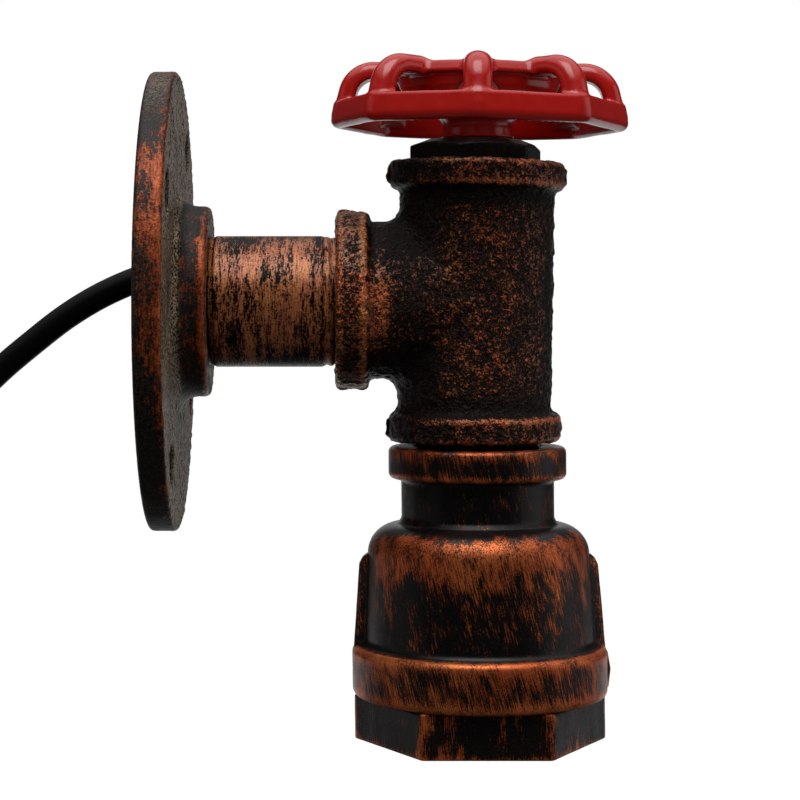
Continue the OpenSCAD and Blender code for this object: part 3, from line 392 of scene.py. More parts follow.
# One finish all over: a noise of the grain's size in mm varies its shade to both sides, its gloss and its
# surface a little.
def plainFinish(name, colour, rough, metallic=0.0, grain=0.4, shade=0.12, depth=0.01, gloss=0.5):
    material, tree, shader = newMaterial(name)
    value = grains(tree, addNode(tree, "TexCoord", take="Object"), grain, 4.0, 0.6)
    dark, light = ([min(1, v * (1 + change)) for v in srgb(colour)[:3]] + [1] for change in (-shade, shade))
    spread = 0.12
    fillIn(tree, shader, {
        "Base Color": addNode(tree, "Mix", {0: value, 6: dark, 7: light}, **coloured),
        "Roughness": addNode(tree, "Math", (value, spread, rough - spread / 2), **multiplyAdd),
        "Normal": addNode(tree, "Bump", {"Strength": 1.0, "Distance": depth * mm, "Height": value}),
        "Metallic": metallic, "Specular IOR Level": gloss})
    return material


# Gloss enamel sprayed on a casting: an even red, a clear highlight, and slow waves of the coat.
redEnamel = plainFinish("redEnamel", "#a30c04", 0.22, grain=2.2, shade=0.10, depth=0.05)
# Zinc plate and rolled brass: satin metal with a fine grain, drawn at 0.3 mm so that it shows.
zincPlate = plainFinish("zincPlatedSteel", "#a9abae", 0.32, 1.0, grain=0.3)
brassStrip = plainFinish("rolledBrass", "#c9a055", 0.28, 1.0, grain=0.3)
# Moulded phenolic: nearly black and satin. Glazed porcelain: warm white under a smooth, glossy glaze.
phenolic = plainFinish("mouldedPhenolic", "#171514", 0.38, grain=0.5)
porcelain = plainFinish("glazedPorcelain", "#e9e6dc", 0.14, grain=1.0, shade=0.03, depth=0.008)
# Extruded soft PVC: a matt black sheath, and cores in the three wiring colours.
softPvc = plainFinish("blackPvcSheath", "#040405", 0.42, grain=0.5, shade=0.2, depth=0.012, gloss=0.08)
brownCore = plainFinish("brownPvcCore", "#5b3218", 0.42, grain=0.5)
blueCore = plainFinish("bluePvcCore", "#1f4f9e", 0.42, grain=0.5)
greenCore = plainFinish("greenPvcCore", "#5d8f2a", 0.42, grain=0.5)
print("materials made")


# Supply cord: round three-core cord that leaves the pipe's open bore behind the flange and hangs; its
# points are the CAD route's own.
cordSet = {
    "diameter": 5.4, "core": 1.9, "sleeve": 1.4, "sleeveLength": 8,
    "route": [
        (8, 0, 6), (4, 0, 6), (0, 0, 5.4), (-4.6, 0, 4), (-11.3, 0, 0.9), (-18.1, 0, -3.3), (-24.9, 0, -8.6),
        (-31.5, 0, -14.2), (-37.5, 0, -20.4), (-42.5, 0, -27.6), (-46, 0, -35.6), (-48, 0, -44),
        (-49, 0, -53), (-49, 1, -66), (-48, 2, -80), (-46, 3, -95), (-44, 3.5, -110), (-43, 3.5, -125),
        (-43, 3, -140), (-43, 2.5, -155), (-43, 2.5, -169)],
    "cores": {
        "tail_live": [(-43, 3.7, -169), (-43, 3.7, -172), (-43.4, 4.8, -178), (-44.3, 7, -185),
                      (-45.2, 9.2, -191), (-45.8, 10.6, -196)],
        "tail_neutral": [(-44.1, 1.9, -169), (-44.1, 1.9, -172), (-44.9, 1.6, -178), (-46.6, 0.8, -185),
                         (-48.4, 0, -192), (-49.4, -0.4, -197)],
        "tail_earth": [(-41.9, 1.9, -169), (-41.9, 1.9, -172), (-41.5, 1.2, -178), (-40.8, -0.6, -185),
                       (-40, -2.6, -193), (-39.6, -4, -200)]},
}


# Smooth curve through the points: between two of them a cubic that keeps the slope at both.
def curveThrough(route, steps):
    p = np.asarray(route, float)
    p = np.vstack([2 * p[0] - p[1], p, 2 * p[-1] - p[-2]])
    t = np.linspace(0, 1, steps, endpoint=False)[:, None]
    out = []
    for a, b, c, d in zip(p[:-3], p[1:-2], p[2:-1], p[3:]):
        out.append(b + t / 2 * ((c - a) + t * ((2 * a - 5 * b + 4 * c - d) + t * (3 * b - 3 * c + d - a))))
    return np.vstack(out + [p[-2:-1]])


# Round section carried along a path that nowhere runs along Y; both ends are closed with a soft rim.
def tubeGrid(path, radius, sides, edge):
    way = unitRows(np.gradient(path, axis=0))
    side = unitRows(np.cross([0, 1, 0], way))
    up = np.cross(way, side)
    turns = np.linspace(0, tau, sides, endpoint=False)[None, :, None]
    rings = side[:, None] * np.cos(turns) + up[:, None] * np.sin(turns)
    caps = [(0, 0), (0.5, 0), (1 - edge / radius, 0), (1 - 0.3 * edge / radius, 0.3 * edge), (1, edge)]
    first = [path[0] + way[0] * back + rings[0] * radius * share for share, back in caps]
    last = [path[-1] - way[-1] * back + rings[-1] * radius * share for share, back in caps[::-1]]
    return np.stack(first + list(path[1:-1, None] + rings[1:-1] * radius) + last)


# Sheath along the route, a core along each route of its own, and a sleeve straight on from each core's end.
def makeCord(s):
    finish = {"tail_live": (brownCore, "core_brown"), "tail_neutral": (blueCore, "core_blue"),
              "tail_earth": (greenCore, "core_green")}
    path = curveThrough(s["route"], 6)
    grids = joinGrids([(tubeGrid(path, s["diameter"] / 2, 28, 0.4), False, True)])
    sheath = buildPiece("cordSheath", *grids, softPvc, baseBody, ["supply_cord"], "cord_sheath", weld=True)
    sleeves, others = [], []
    for name, route in s["cores"].items():
        grids = joinGrids([(tubeGrid(curveThrough(route, 5), s["core"] / 2, 16, 0.15), False, True)])
        others.append(buildPiece(name + "_core", *grids, finish[name][0], baseBody, [name], finish[name][1],
                                 weld=True))
        way = unitRows(np.subtract(route[-1], route[-2]))
        stretch = np.asarray(route[-1]) + way * np.linspace(0, s["sleeveLength"], 9)[:, None]
        sleeves.append((tubeGrid(stretch, s["sleeve"] / 2, 12, 0.1), False, True))
    others.append(buildPiece("endSleeves", *joinGrids(sleeves), zincPlate, baseBody, ["tail_ferrules"],
                             "steel", weld=True))
    length = float(np.linalg.norm(np.diff(path, axis=0), axis=1).sum())
    return length


print("cord made,", round(makeCord(cordSet)), "mm")


# Tee: two pipes that cross, with a ball-rolled fillet between them, a bead round each mouth, and the
# pebbled skin and the parting flash that sand casting leaves. It is screwed on a little askew: its run
# leans, and its top bead tilts. The rub levels say how much copper each place holds.
teeSet = {
    "axis": 66.8, "body": 15.85, "bead": 17.9, "beadEdge": 1.2, "run": 28.6, "runBead": 5.6,
    "branch": 29.2, "branchBead": 6.6, "beadBlend": 1.6, "fillet": 3.6, "core": 13.3, "mouth": 13.05,
    "mouthDepth": 12.5, "mouthBevel": 0.6, "lug": 0.5, "lugDeep": 4, "lugHalf": (1.1, 1.6), "cell": 0.43,
    "pebble": 0.15, "flash": 0.30, "lean": 0.0166, "leanFrom": 35, "tilt": 0.019,
    "columnRub": 0.36, "armRub": 0.37, "armPatchRub": 0.28, "joinRub": 0.30, "crotchRub": -0.3,
    "runBeadRub": (0.17, 0.24), "runEdgeRub": (0.42, 0.30), "branchBeadRub": 0.46,
    "branchEdgeRub": (0.4, 0.2), "lumpRub": 0.25,
}


# Distance to a pipe with a bead at its end, from the radius and the height along its own axis.
def beadedPipe(r, along, reach, width, s):
    body = roundBox(r, along, s["body"], reach - 2, 0.4)
    bead = roundBox(r, along - (reach - width / 2), s["bead"], width / 2, s["beadEdge"])
    return softMin(body, bead, s["beadBlend"])


# Field of the casting: the lesser of run and branch, with their crotch filled up to the ball and a lug on
# each side of the run beads, less the cored space and the bevelled mouths.
def teeField(p, s=teeSet):
    x, y, z = p[..., 0] - s["axis"], p[..., 1], p[..., 2]
    runR, branchR = np.hypot(x, y), np.hypot(y, z)
    run = beadedPipe(runR, np.abs(z), s["run"], s["runBead"], s)
    branch = np.where(x < 0, beadedPipe(branchR, -x, s["branch"], s["branchBead"], s), 99)
    # Ball that touches both pipes: its centre lies u and v away along their two normals.
    cosine = np.clip(y * y / np.maximum(runR * branchR, 1e-6), 0, 0.9999)
    u, v = s["fillet"] - run, s["fillet"] - branch
    ball = np.sqrt(np.maximum(u * u + v * v - 2 * u * v * cosine, 0) / (1 - cosine ** 2))
    between = (u > v * cosine) & (v > u * cosine) & (u > 0) & (v > 0)
    outer = np.where(between, s["fillet"] - ball, np.minimum(run, branch))
    halfDeep, (halfWide, halfHigh) = s["lugDeep"] / 2, s["lugHalf"]
    for side in (-1, 1):
        lug = np.abs(x - side * (s["bead"] + s["lug"] - halfDeep)) - halfDeep
        lug = np.maximum(lug, np.abs(y) - halfWide)
        lug = np.maximum(lug, np.abs(np.abs(z) - s["run"] + s["runBead"] / 2) - halfHigh)
        if side > 0:
            lug = np.maximum(lug, -z)  # the lower bead has none on the side away from the wall
        outer = softMin(outer, lug, 0.5)
    throat = s["run"] - s["mouthDepth"]
    hollow = np.minimum(np.maximum(runR - s["core"], np.abs(z) - throat),
                        np.maximum(branchR - s["core"], np.maximum(x, -x - s["branch"] + s["mouthDepth"])))
    flare = np.maximum(0, np.abs(z) - s["run"] + s["mouthBevel"])
    hollow = np.minimum(hollow, runR - s["mouth"] - flare)
    flare = np.maximum(0, -x - s["branch"] + s["mouthBevel"])
    hollow = np.minimum(hollow, np.maximum(branchR - s["mouth"] - flare, x))
    return np.maximum(outer, -hollow)


# Skin of the field, moved along its slope by pebbles all over and flash on the parting plane y = 0.
def makeTee(s):
    low = (s["axis"] - s["branch"] - 1, -s["bead"] - 1, -s["run"] - 1)
    high = (s["axis"] + s["bead"] + 2, s["bead"] + 1, s["run"] + 1)
    points, faces = fieldSkin(teeField, low, high, s["cell"])
    slope = unitRows(slopeOf(teeField, points))
    x, y, z = points[:, 0] - s["axis"], points[:, 1], points[:, 2]
    runR, branchR, height = np.hypot(x, y), np.hypot(y, z), np.abs(z)
    outside = (runR > s["body"] - 0.4) & ((x > 0) | (branchR > s["body"] - 0.4) | (height > 12))
    lumps = cloud(points, 1.1, 11) + 0.7 * cloud(points, 0.7, 12) - 0.85
    flashAt = hump(y, 0, 0.6) * (0.2 + 3.2 * cloud(points, 1.7, 13) * cloud(points, 5.0, 15) ** 2)
    rise = s["pebble"] * 2 * lumps + s["flash"] * flashAt * (np.abs(slope[:, 1]) < 0.5)
    points = points + slope * (rise * outside)[:, None]
    rub = teeRub(points, (x, y, z), s) + s["lumpRub"] * lumps * outside
    points[:, 0] += smoothStep(-24, -10, x) * s["lean"] * (z - s["leanFrom"])
    points[:, 2] -= smoothStep(5, 25, z) * s["tilt"] * x
    return buildPiece("teeCasting", points, faces, copperOnTee, baseBody, ["tee"], "rubbed_copper",
                      {"rub": rub})


# Where the tee is rubbed: the larger of a column down the run's front, the arm and where they join, less
# the crotch, fading to the parting plane; then the beads, more at their edges and away from the wall.
def teeRub(points, place, s):
    x, y, z = place
    height = np.abs(z)
    runLow, branchLow = s["run"] - s["runBead"], s["branch"] - s["branchBead"]
    onRunBead = smoothStep(runLow - 0.3, runLow + 0.6, height)
    onBranchBead = smoothStep(branchLow - 0.3, branchLow + 0.6, -x)
    drift = 5 * (cloud(points, 9.0, 14) - 0.5)
    column = s["columnRub"] * smoothStep(-14, -5, x + drift) * smoothStep(15.7, 12.5, x)
    column = column * smoothStep(21.5, 18, height)
    arm = s["armRub"] * smoothStep(-12, -19, x + drift) * smoothStep(13, 8, height + 0.5 * drift) * (x < 0)
    patch = smoothStep(-17.5, -20, x) * smoothStep(10, 4, np.abs(z + 1) + 0.5 * drift)
    joined = s["joinRub"] * smoothStep(13, 9, height + 0.3 * drift) * (x < 0)
    rub = np.maximum(np.maximum(column, arm + s["armPatchRub"] * patch), joined)
    rub = rub + s["crotchRub"] * hump(x, -13, 4.0) * hump(height, 14, 5)
    facing = np.abs(y) / np.maximum(np.hypot(x, y), 1)
    rub = rub * smoothStep(0.03, 0.25, facing)
    inner, outer = s["runEdgeRub"]
    edges = inner * hump(height, runLow + 0.9, 0.6) + outer * hump(height, s["run"] - 0.6, 0.5)
    base, more = s["runBeadRub"]
    onBead = base + more * smoothStep(-11, 2, x + drift) + edges * smoothStep(-16, -8, x)
    rub = rub * (1 - onRunBead) + onRunBead * onBead
    inner, outer = s["branchEdgeRub"]
    edges = inner * hump(-x, branchLow + 0.9, 0.8) + outer * hump(-x, s["branch"] - 0.7, 0.8)
    onBead = rub * (1 - onBranchBead) + onBranchBead * (s["branchBeadRub"] + edges)
    return np.where(x < -18, onBead, rub)


makeTee(teeSet)


# Bell: a reducing coupling turned up from one outline, with two wrench ribs and the stub of its gate. It
# leans a little from the height where it is screwed on.
bellSet = {
    "axis": 66.8, "top": -29.7, "foot": -80.7, "columns": 336, "step": 0.45, "twist": 0.0105,
    "rimBead": 26.15, "rimHeight": 10.4, "rimEdge": 1.6, "waist": 23.6, "shoulder": 22.7,
    "shoulderZ": -51.7, "shoulderRound": 6.1, "neck": 15.7, "neckFillet": 1.8, "bead": 18.25,
    "beadHeight": 6.6, "beadEdge": 1.2, "lean": 0.0113, "leanFrom": -41.8, "wave": 0.10,
    "crease": (0.10, -44.9, 0.35),
    "inside": [(13.5, -29.7), (13.05, -30.2), (13.05, -42.2), (10.65, -42.2), (10.65, -44.6), (20.1, -51.7),
               (20.1, -62.7), (20.55, -62.7), (20.55, -80.1)],
    "rib": [(-71.6, 25.7), (-70.6, 25.8), (-53.9, 24.5), (-52.3, 23.7), (-51.3, 21.6)], "ribHalf": 2.0,
    "gate": [(-79.4, 25.9), (-79.1, 26.5), (-75.5, 26.95), (-71.9, 26.35), (-71.6, 25.9)], "gateHalf": 1.2,
    "streakRub": (0.15, 0.22), "shoulderRub": (0.58, 0.18), "neckRub": 0.12,
    "rimRub": (0.54, 0.48, 0.36), "beadRub": (0.26, 0.50, 0.40),
}


# Outline up the outside from the foot's inner edge, with an arc for each rounding and straight lines
# between, and the one down the inside.
def bellOutline(s):
    foot, top, w = s["foot"], s["top"], s["rimHeight"]
    beadLow, rimEdge, beadEdge = top - s["beadHeight"], s["rimEdge"], s["beadEdge"]
    outer = np.vstack([
        [(21.2, foot)], arc((s["rimBead"] - rimEdge, foot + rimEdge), rimEdge, -90, 0, 8),
        arc((s["rimBead"] - rimEdge, foot + w - rimEdge), rimEdge, 0, 86, 8),
        arc((s["waist"] + 1.35, foot + w + 1.4), 1.4, 268, 180, 7),
        arc((s["shoulder"] - s["shoulderRound"], s["shoulderZ"]), s["shoulderRound"], 0, 87, 22),
        arc((s["neck"] + s["neckFillet"], s["shoulderZ"] + 7.7), s["neckFillet"], 244, 180, 7),
        arc((s["neck"] + 0.7, beadLow - 0.7), 0.7, 180, 90, 3),
        arc((s["bead"] - beadEdge, beadLow + beadEdge), beadEdge, -90, 0, 7),
        arc((s["bead"] - beadEdge, top - beadEdge), beadEdge, 0, 90, 7)])
    return evenly(outer, s["step"]), np.array(s["inside"])


# The outline turned about its axis; ribs and gate raise the radius near y = 0, and slow waves and the
# crease at the neck are added.
def makeBell(s):
    outer, inner = bellOutline(s)
    outline = np.vstack([outer, inner])
    turns = fullTurn(s["columns"])
    r, z = outline[:, :1] + 0 * turns, outline[:, 1:] + 0 * turns
    isOuter = (np.arange(len(outline)) < len(outer))[:, None] & (r > 13.6)
    flat = around(r, z, turns, "z")
    side = np.abs(flat[..., 1])
    rib = np.interp(z, *np.transpose(s["rib"]), left=0, right=0) * (side < 3.4)
    rib = rib - 2.2 * smoothStep(s["ribHalf"] - 0.5, s["ribHalf"] + 0.5, side)
    gate = np.interp(z, *np.transpose(s["gate"]), left=0, right=0)
    gate = gate - 1.2 * smoothStep(s["gateHalf"] - 0.4, s["gateHalf"] + 0.4, side)
    raised = np.maximum(np.maximum(r, rib * (z > -71.7)), np.where(flat[..., 0] > 0, gate, 0))
    r = np.where(isOuter, raised, r)
    points = around(r, z, turns, "z", s["axis"]).reshape(-1, 3)
    x, y, z = points[:, 0] - s["axis"], points[:, 1], points[:, 2]
    waves = cloud(points, 7.0, 21) - 0.5 + 0.35 * (cloud(points, 1.6, 22) - 0.5)
    outward = np.c_[x, y, 0 * x] / np.maximum(np.hypot(x, y), 1)[:, None]
    rise, creaseZ, wide = s["crease"]
    lift = s["wave"] * waves + rise * hump(z, creaseZ, wide)
    points = points + outward * (lift * isOuter.reshape(-1))[:, None]
    rub = bellRub(points, y, z, s)
    turn = s["twist"] * z
    brushed = np.c_[x * np.cos(turn) - y * np.sin(turn), x * np.sin(turn) + y * np.cos(turn), z] * mm
    faces = gridFaces(len(outline), s["columns"], True, True)
    points[:, 0] += s["lean"] * (s["leanFrom"] - z)
    return buildPiece("bellCasting", points, faces, copperOnBell, baseBody, ["bell"], "rubbed_copper",
                      {"rub": rub, "brushed": brushed})


# Where the bell is rubbed: streaks down the body, more on the shoulder, less by the ribs; bands on the
# bottom bead and the top bead, most at their edges; and the two edges of each rib.
def bellRub(points, y, z, s):
    fine, wide = cloud(points, (1.1, 1.1, 12), 23), cloud(points, (3.2, 3.2, 30), 24)
    broad = cloud(points, 9, 25)
    ragged = 7 * (fine - 0.5) + 9 * (wide - 0.5) + 6 * (broad - 0.5)
    ribAway = smoothStep(2.2, 6.5, np.abs(y))
    top = smoothStep(-45.9, -47.6, z + 0.2 * ragged)
    shoulder = top * smoothStep(-59.5, -54, z + ragged)
    band = top * smoothStep(-55.5, -51.5, z + 0.8 * ragged)
    base, more = s["streakRub"]
    streaks = base + more * smoothStep(-72, -54, z + 0.6 * ragged) * (z < -47)
    streaks = streaks * smoothStep(-69.9, -68.4, z) * (z < -46.3)
    most, more = s["shoulderRub"]
    body = np.maximum(streaks, most * shoulder + more * band) * ribAway
    neck = s["neckRub"] * (z > -45.5) + s["neckRub"] * hump(z, -40, 3) * smoothStep(0.55, 0.8, wide)
    rimTop, beadLow = s["foot"] + s["rimHeight"], s["top"] - s["beadHeight"]
    rim = smoothStep(rimTop + 0.25, rimTop - 0.2, z)
    base, high, low = s["rimRub"]
    rimBand = base + high * hump(z, rimTop - 0.8, 1.0 + 1.2 * wide) + low * hump(z, s["foot"] + 0.9, 1.2)
    bead = smoothStep(beadLow - 0.2, beadLow + 0.3, z)
    base, low, high = s["beadRub"]
    beadBand = base + low * hump(z, beadLow + 0.8, 0.8) + high * hump(z, s["top"] - 0.9, 0.7 + 1.2 * wide)
    rub = np.maximum(body, neck) * (1 - rim) * (1 - bead) + rim * rimBand + bead * beadBand
    onRib = (np.abs(y) < 2.4) & (z > -70) & (z < -51)
    return np.where(onRib, 1.1 * hump(np.abs(y), 1.9, 0.35) - 0.5, rub)


makeBell(bellSet)


# Pipe arm and the nipple between tee and bell: a barrel between two lengths of pipe thread. Next to the
# barrel's end at the tee the thread runs out in shallow turns.
pipeSet = {
    "columns": 240, "step": 0.3, "pitch": 1.81, "threadDepth": 0.7, "thread": 13.2, "barrel": 13.45,
    "bore": 10.65, "leadIn": 12.4, "bevel": 0.7, "start": 1.4, "barrelStart": 12.9, "barrelEnd": 35.1,
    "runOut": 2.6, "end": 48.1, "barrelRub": 0.56, "underRub": -0.15, "crestRub": 0.72,
}


# Triangle wave of the place along the axis over the pitch, less the turn.
def threadWave(along, turns, pitch):
    phase = along / pitch - turns / tau
    return np.abs(2 * (phase - np.floor(phase)) - 1)


# The outline turned about the arm, less the thread's wave times its depth; rubbed on the barrel in bands,
# less above and below, and on the thread's crests.
def makeArmPipe(s):
    a, b, thread, barrel = s["barrelStart"], s["barrelEnd"], s["thread"], s["barrel"]
    outline = evenly([
        (s["bore"], s["start"]), (s["leadIn"], s["start"]), (thread, s["start"] + s["bevel"]),
        (thread, a - 0.4), (barrel - 0.15, a), (barrel, a + 0.3), (barrel, b - 0.4), (barrel - 0.12, b),
        (barrel - 0.1, b + 2.0), (thread, b + s["runOut"]), (thread, s["end"] - s["bevel"]),
        (s["leadIn"], s["end"]), (s["bore"], s["end"])], s["step"])
    turns = fullTurn(s["columns"])
    r, x = outline[:, :1] + 0 * turns, outline[:, 1:] + 0 * turns
    threaded = (r > 12.9) * (1 - smoothStep(a - 0.5, a, x) * smoothStep(b + 0.6, b, x))
    depth = s["threadDepth"] * (0.5 + 0.5 * smoothStep(b + 1, b + 4, x))
    r = r - threaded * depth * threadWave(x, turns, s["pitch"])
    points = around(r, x, turns, "x").reshape(-1, 3)
    x, y, z = points.T
    onBarrel = smoothStep(a - 0.2, a + 0.2, x) * smoothStep(b + 0.2, b - 0.2, x)
    bands = 0.5 * (cloud(points, (1.1, 9, 9), 31) - 0.5) + 0.5 * (cloud(points, (4, 6, 6), 32) - 0.5)
    under = s["underRub"] * smoothStep(0.75, 1.0, np.abs(z / barrel))
    rub = onBarrel * (s["barrelRub"] + bands + under)
    crest = smoothStep(thread - 0.42, thread - 0.12, np.hypot(y, z))
    rub = np.maximum(rub, (1 - onBarrel) * s["crestRub"] * crest)
    faces = gridFaces(len(outline), s["columns"], True, True)
    return buildPiece("armPipe", points, faces, copperOnPipe, baseBody, ["arm_nipple"], "rubbed_copper",
                      {"rub": rub})


makeArmPipe(pipeSet)


# Thread of the nipple between tee and bell, as far as the gap shows it.
gapSet = {"thread": 12.95, "low": -40.2, "high": -17.8, "columns": 160, "step": 0.35, "rub": -0.1}


# The same thread about the upright axis, all black.
def makeGapThread(s, pipe):
    low, high, bevel = s["low"], s["high"], pipe["bevel"]
    outline = evenly([(pipe["bore"], low), (pipe["leadIn"], low), (s["thread"], low + bevel),
                      (s["thread"], high - bevel), (pipe["leadIn"], high), (pipe["bore"], high)], s["step"])
    turns = fullTurn(s["columns"])
    r, z = outline[:, :1] + 0 * turns, outline[:, 1:] + 0 * turns
    r = r - (r > 12.9) * pipe["threadDepth"] * threadWave(z, turns, pipe["pitch"])
    points = around(r, z, turns, "z", teeSet["axis"]).reshape(-1, 3)
    faces = gridFaces(len(outline), s["columns"], True, True)
    return buildPiece("gapThread", points, faces, copperOnPipe, baseBody, ["run_nipple"], "black_iron",
                      {"rub": np.full(len(points), s["rub"])})


makeGapThread(gapSet, pipeSet)


# Radius of a hexagon at each angle: half its width over the cosine from the side's middle, its corners
# worn round.
def hexRadius(turns, flats, corner, turn):
    fold = (turns - math.radians(turn)) % (tau / 6) - tau / 12
    side = flats / 2 / np.cos(fold)
    return softMin(side, corner + 0 * side, 0.25)


# Bushing in the bell's foot, which leans with the bell.
hexSet = {
    "axis": 66.8, "flats": 44.8, "corner": 25.75, "low": -89.9, "high": -80.7, "edge": 0.45, "bore": 17.7,
    "bevel": 0.8, "shank": 20.5, "shankTop": -66.7, "columns": 360, "wave": 0.10, "sideRub": 0.15,
    "cornerRub": 0.40, "footRub": 0.42, "strokeRub": 0.40,
}


# Rows down the bore, out over the foot's face and up the outside: a share of 0 is round, 1 is the
# hexagon, and between them the face spreads from one to the other. Rubbed at the corners and the foot,
# and in strokes.
def makeHexMouth(s):
    e, low, high = s["edge"], s["low"], s["high"]
    corner = arc((0, 0), e, -90, 0, 4)
    rows = [(0.0, s["bore"], high), (0.0, s["bore"], low + s["bevel"]), (0.0, s["bore"] + s["bevel"], low)]
    rows += [(0.35, 1, low), (0.7, 1, low)]
    rows += [(1.0, -e + a, low + e + b) for a, b in corner]
    rows += [(1.0, 0, z) for z in np.linspace(low + e, high - e, 20)[1:-1]]
    rows += [(1.0, -e + a, high - e - b) for a, b in corner[::-1]]
    rows += [(0.0, s["shank"], high), (0.0, s["shank"], s["shankTop"]), (0.0, s["bore"], s["shankTop"])]
    share, other, z = np.array(rows).T[:, :, None]
    turns = fullTurn(s["columns"])
    hexagon = hexRadius(turns, s["flats"], s["corner"], 0)
    inside = s["bore"] + s["bevel"]
    face = inside + (hexagon - e - inside) * share
    r = np.where(share == 0, other, np.where(share < 1, face, hexagon + other))
    points = around(r, z, turns, "z", s["axis"]).reshape(-1, 3)
    x, y, z = points[:, 0] - s["axis"], points[:, 1], points[:, 2]
    onSide = (r + 0 * turns).reshape(-1) > 21.5
    waves = s["wave"] * (cloud(points, 4.0, 41) - 0.5) * onSide
    points = points + unitRows(np.c_[x, y, 0 * x]) * waves[:, None]
    fold = np.arctan2(y, x) % (tau / 6)
    fromCorner = np.minimum(fold, tau / 6 - fold) * 25
    ragged = 1.2 * (cloud(points, (1.2, 1.2, 2.5), 42) - 0.5)
    strokes = cloud(points, (1.4, 1.4, 9), 43)
    rub = s["sideRub"] + s["cornerRub"] * hump(fromCorner, 0, 1.0 + ragged)
    rub = rub + s["footRub"] * hump(z, low + 0.2, 0.5 + 0.6 * strokes)
    patches = smoothStep(0.35, 0.7, cloud(points, 6, 44))
    rub = rub + s["strokeRub"] * smoothStep(0.45, 0.85, strokes) * patches
    rub = rub * (np.hypot(x, y) > 18.6)
    faces = gridFaces(len(rows), s["columns"], True, True)
    points[:, 0] += bellSet["lean"] * (bellSet["leanFrom"] - z)
    return buildPiece("hexMouth", points, faces, copperOnHex, baseBody, ["hex_bushing"], "black_iron",
                      {"rub": rub})


makeHexMouth(hexSet)


# Plug in the tee's top: its hexagon's corners are cut down by a cone, and its thread is cupped.
plugSet = {
    "axis": 66.8, "flats": 24.4, "corner": 14.0, "turn": 13.3, "foot": 28.3, "top": 33.1, "cornerZ": 31.5,
    "topR": 9.7, "bore": 5.05, "webLow": 24.1, "cup": 10.6, "end": 17.8, "thread": 12.98, "columns": 300,
    "shift": 0.4, "wave": 0.1, "sideRub": -0.05, "edgeRub": 0.25, "edgeZ": 32.3,
}


# Rows from the bore out to the cup's wall and down it, out to the thread, up the hexagon to where the cone
# cuts it at each angle, and in over the top.
def makeTopPlug(s):
    turns = fullTurn(s["columns"])
    foot, top, topR = s["foot"], s["top"], s["topR"]
    hexagon = hexRadius(turns, s["flats"], s["corner"], s["turn"])
    slope = (top - s["cornerZ"]) / (s["corner"] - topR)
    edgeZ = top - slope * (hexagon - topR)
    rows = [(s["bore"], s["webLow"]), (s["cup"], s["webLow"]), (s["cup"], s["end"]), (s["thread"], s["end"]),
            (s["thread"], foot), (hexagon - 0.3, foot), (hexagon - 0.1, foot + 0.1), (hexagon, foot + 0.35)]
    rows += [(hexagon, foot + 0.35 + (edgeZ - foot - 0.65) * t) for t in np.linspace(0, 1, 8)[1:]]
    rows += [(hexagon - 0.06, edgeZ - 0.1), (hexagon - 0.3, edgeZ + 0.3 * slope)]
    rows += [(hexagon + (topR + 0.2 - hexagon) * t, edgeZ + (top - 0.08 - edgeZ) * t)
             for t in np.linspace(0.1, 1, 10)]
    rows += [(r, top) for r in (topR - 0.3, 8.4, 7.2, 6.1, s["bore"])]
    r, z = (np.vstack([row[i] + 0 * turns for row in rows]) for i in range(2))
    points = around(r, z, turns, "z", s["axis"]).reshape(-1, 3)
    x, y = points[:, 0] - s["axis"], points[:, 1]
    lumps = cloud(points, 2.2, 51) - 0.5
    points = points + np.c_[0 * x, 0 * x, s["wave"] * lumps * (np.hypot(x, y) > 6)]
    rub = s["sideRub"] + s["edgeRub"] * hump(points[:, 2], s["edgeZ"], 0.7)
    share = smoothStep(6, 9, np.hypot(x, y))
    points[:, 0] -= s["shift"] * share
    points[:, 2] -= teeSet["tilt"] * x * share
    faces = gridFaces(len(rows), s["columns"], True, True)
    return buildPiece("topPlug", points, faces, copperOnHex, baseBody, ["top_plug"], "black_iron",
                      {"rub": rub})


makeTopPlug(plugSet)


# Wall flange: plate and hub turned about the arm's axis, with a fillet between them and four
# countersunk holes.
flangeSet = {
    "radius": 47, "plate": 5.5, "edge": 0.9, "hub": 19.5, "hubFace": 11.9, "hubEdge": 1.1, "fillet": 4.2,
    "bore": 13.05, "hole": 2.75, "mouth": 4.8, "circle": 38.2, "turn": 11.8, "cell": 0.48, "sand": 0.26,
    "wave": 0.16, "rimRub": (0.10, 0.34, 0.60), "frontEdgeRub": (0.24, 0.26), "faceRub": 0.10,
    "hubRub": (0.12, 0.30, 0.58), "hubFaceRub": 0.3, "dustGlintAndSheen": (0.55, 0.9), "rimDustAndSheen": (0.05, 0.45),
}


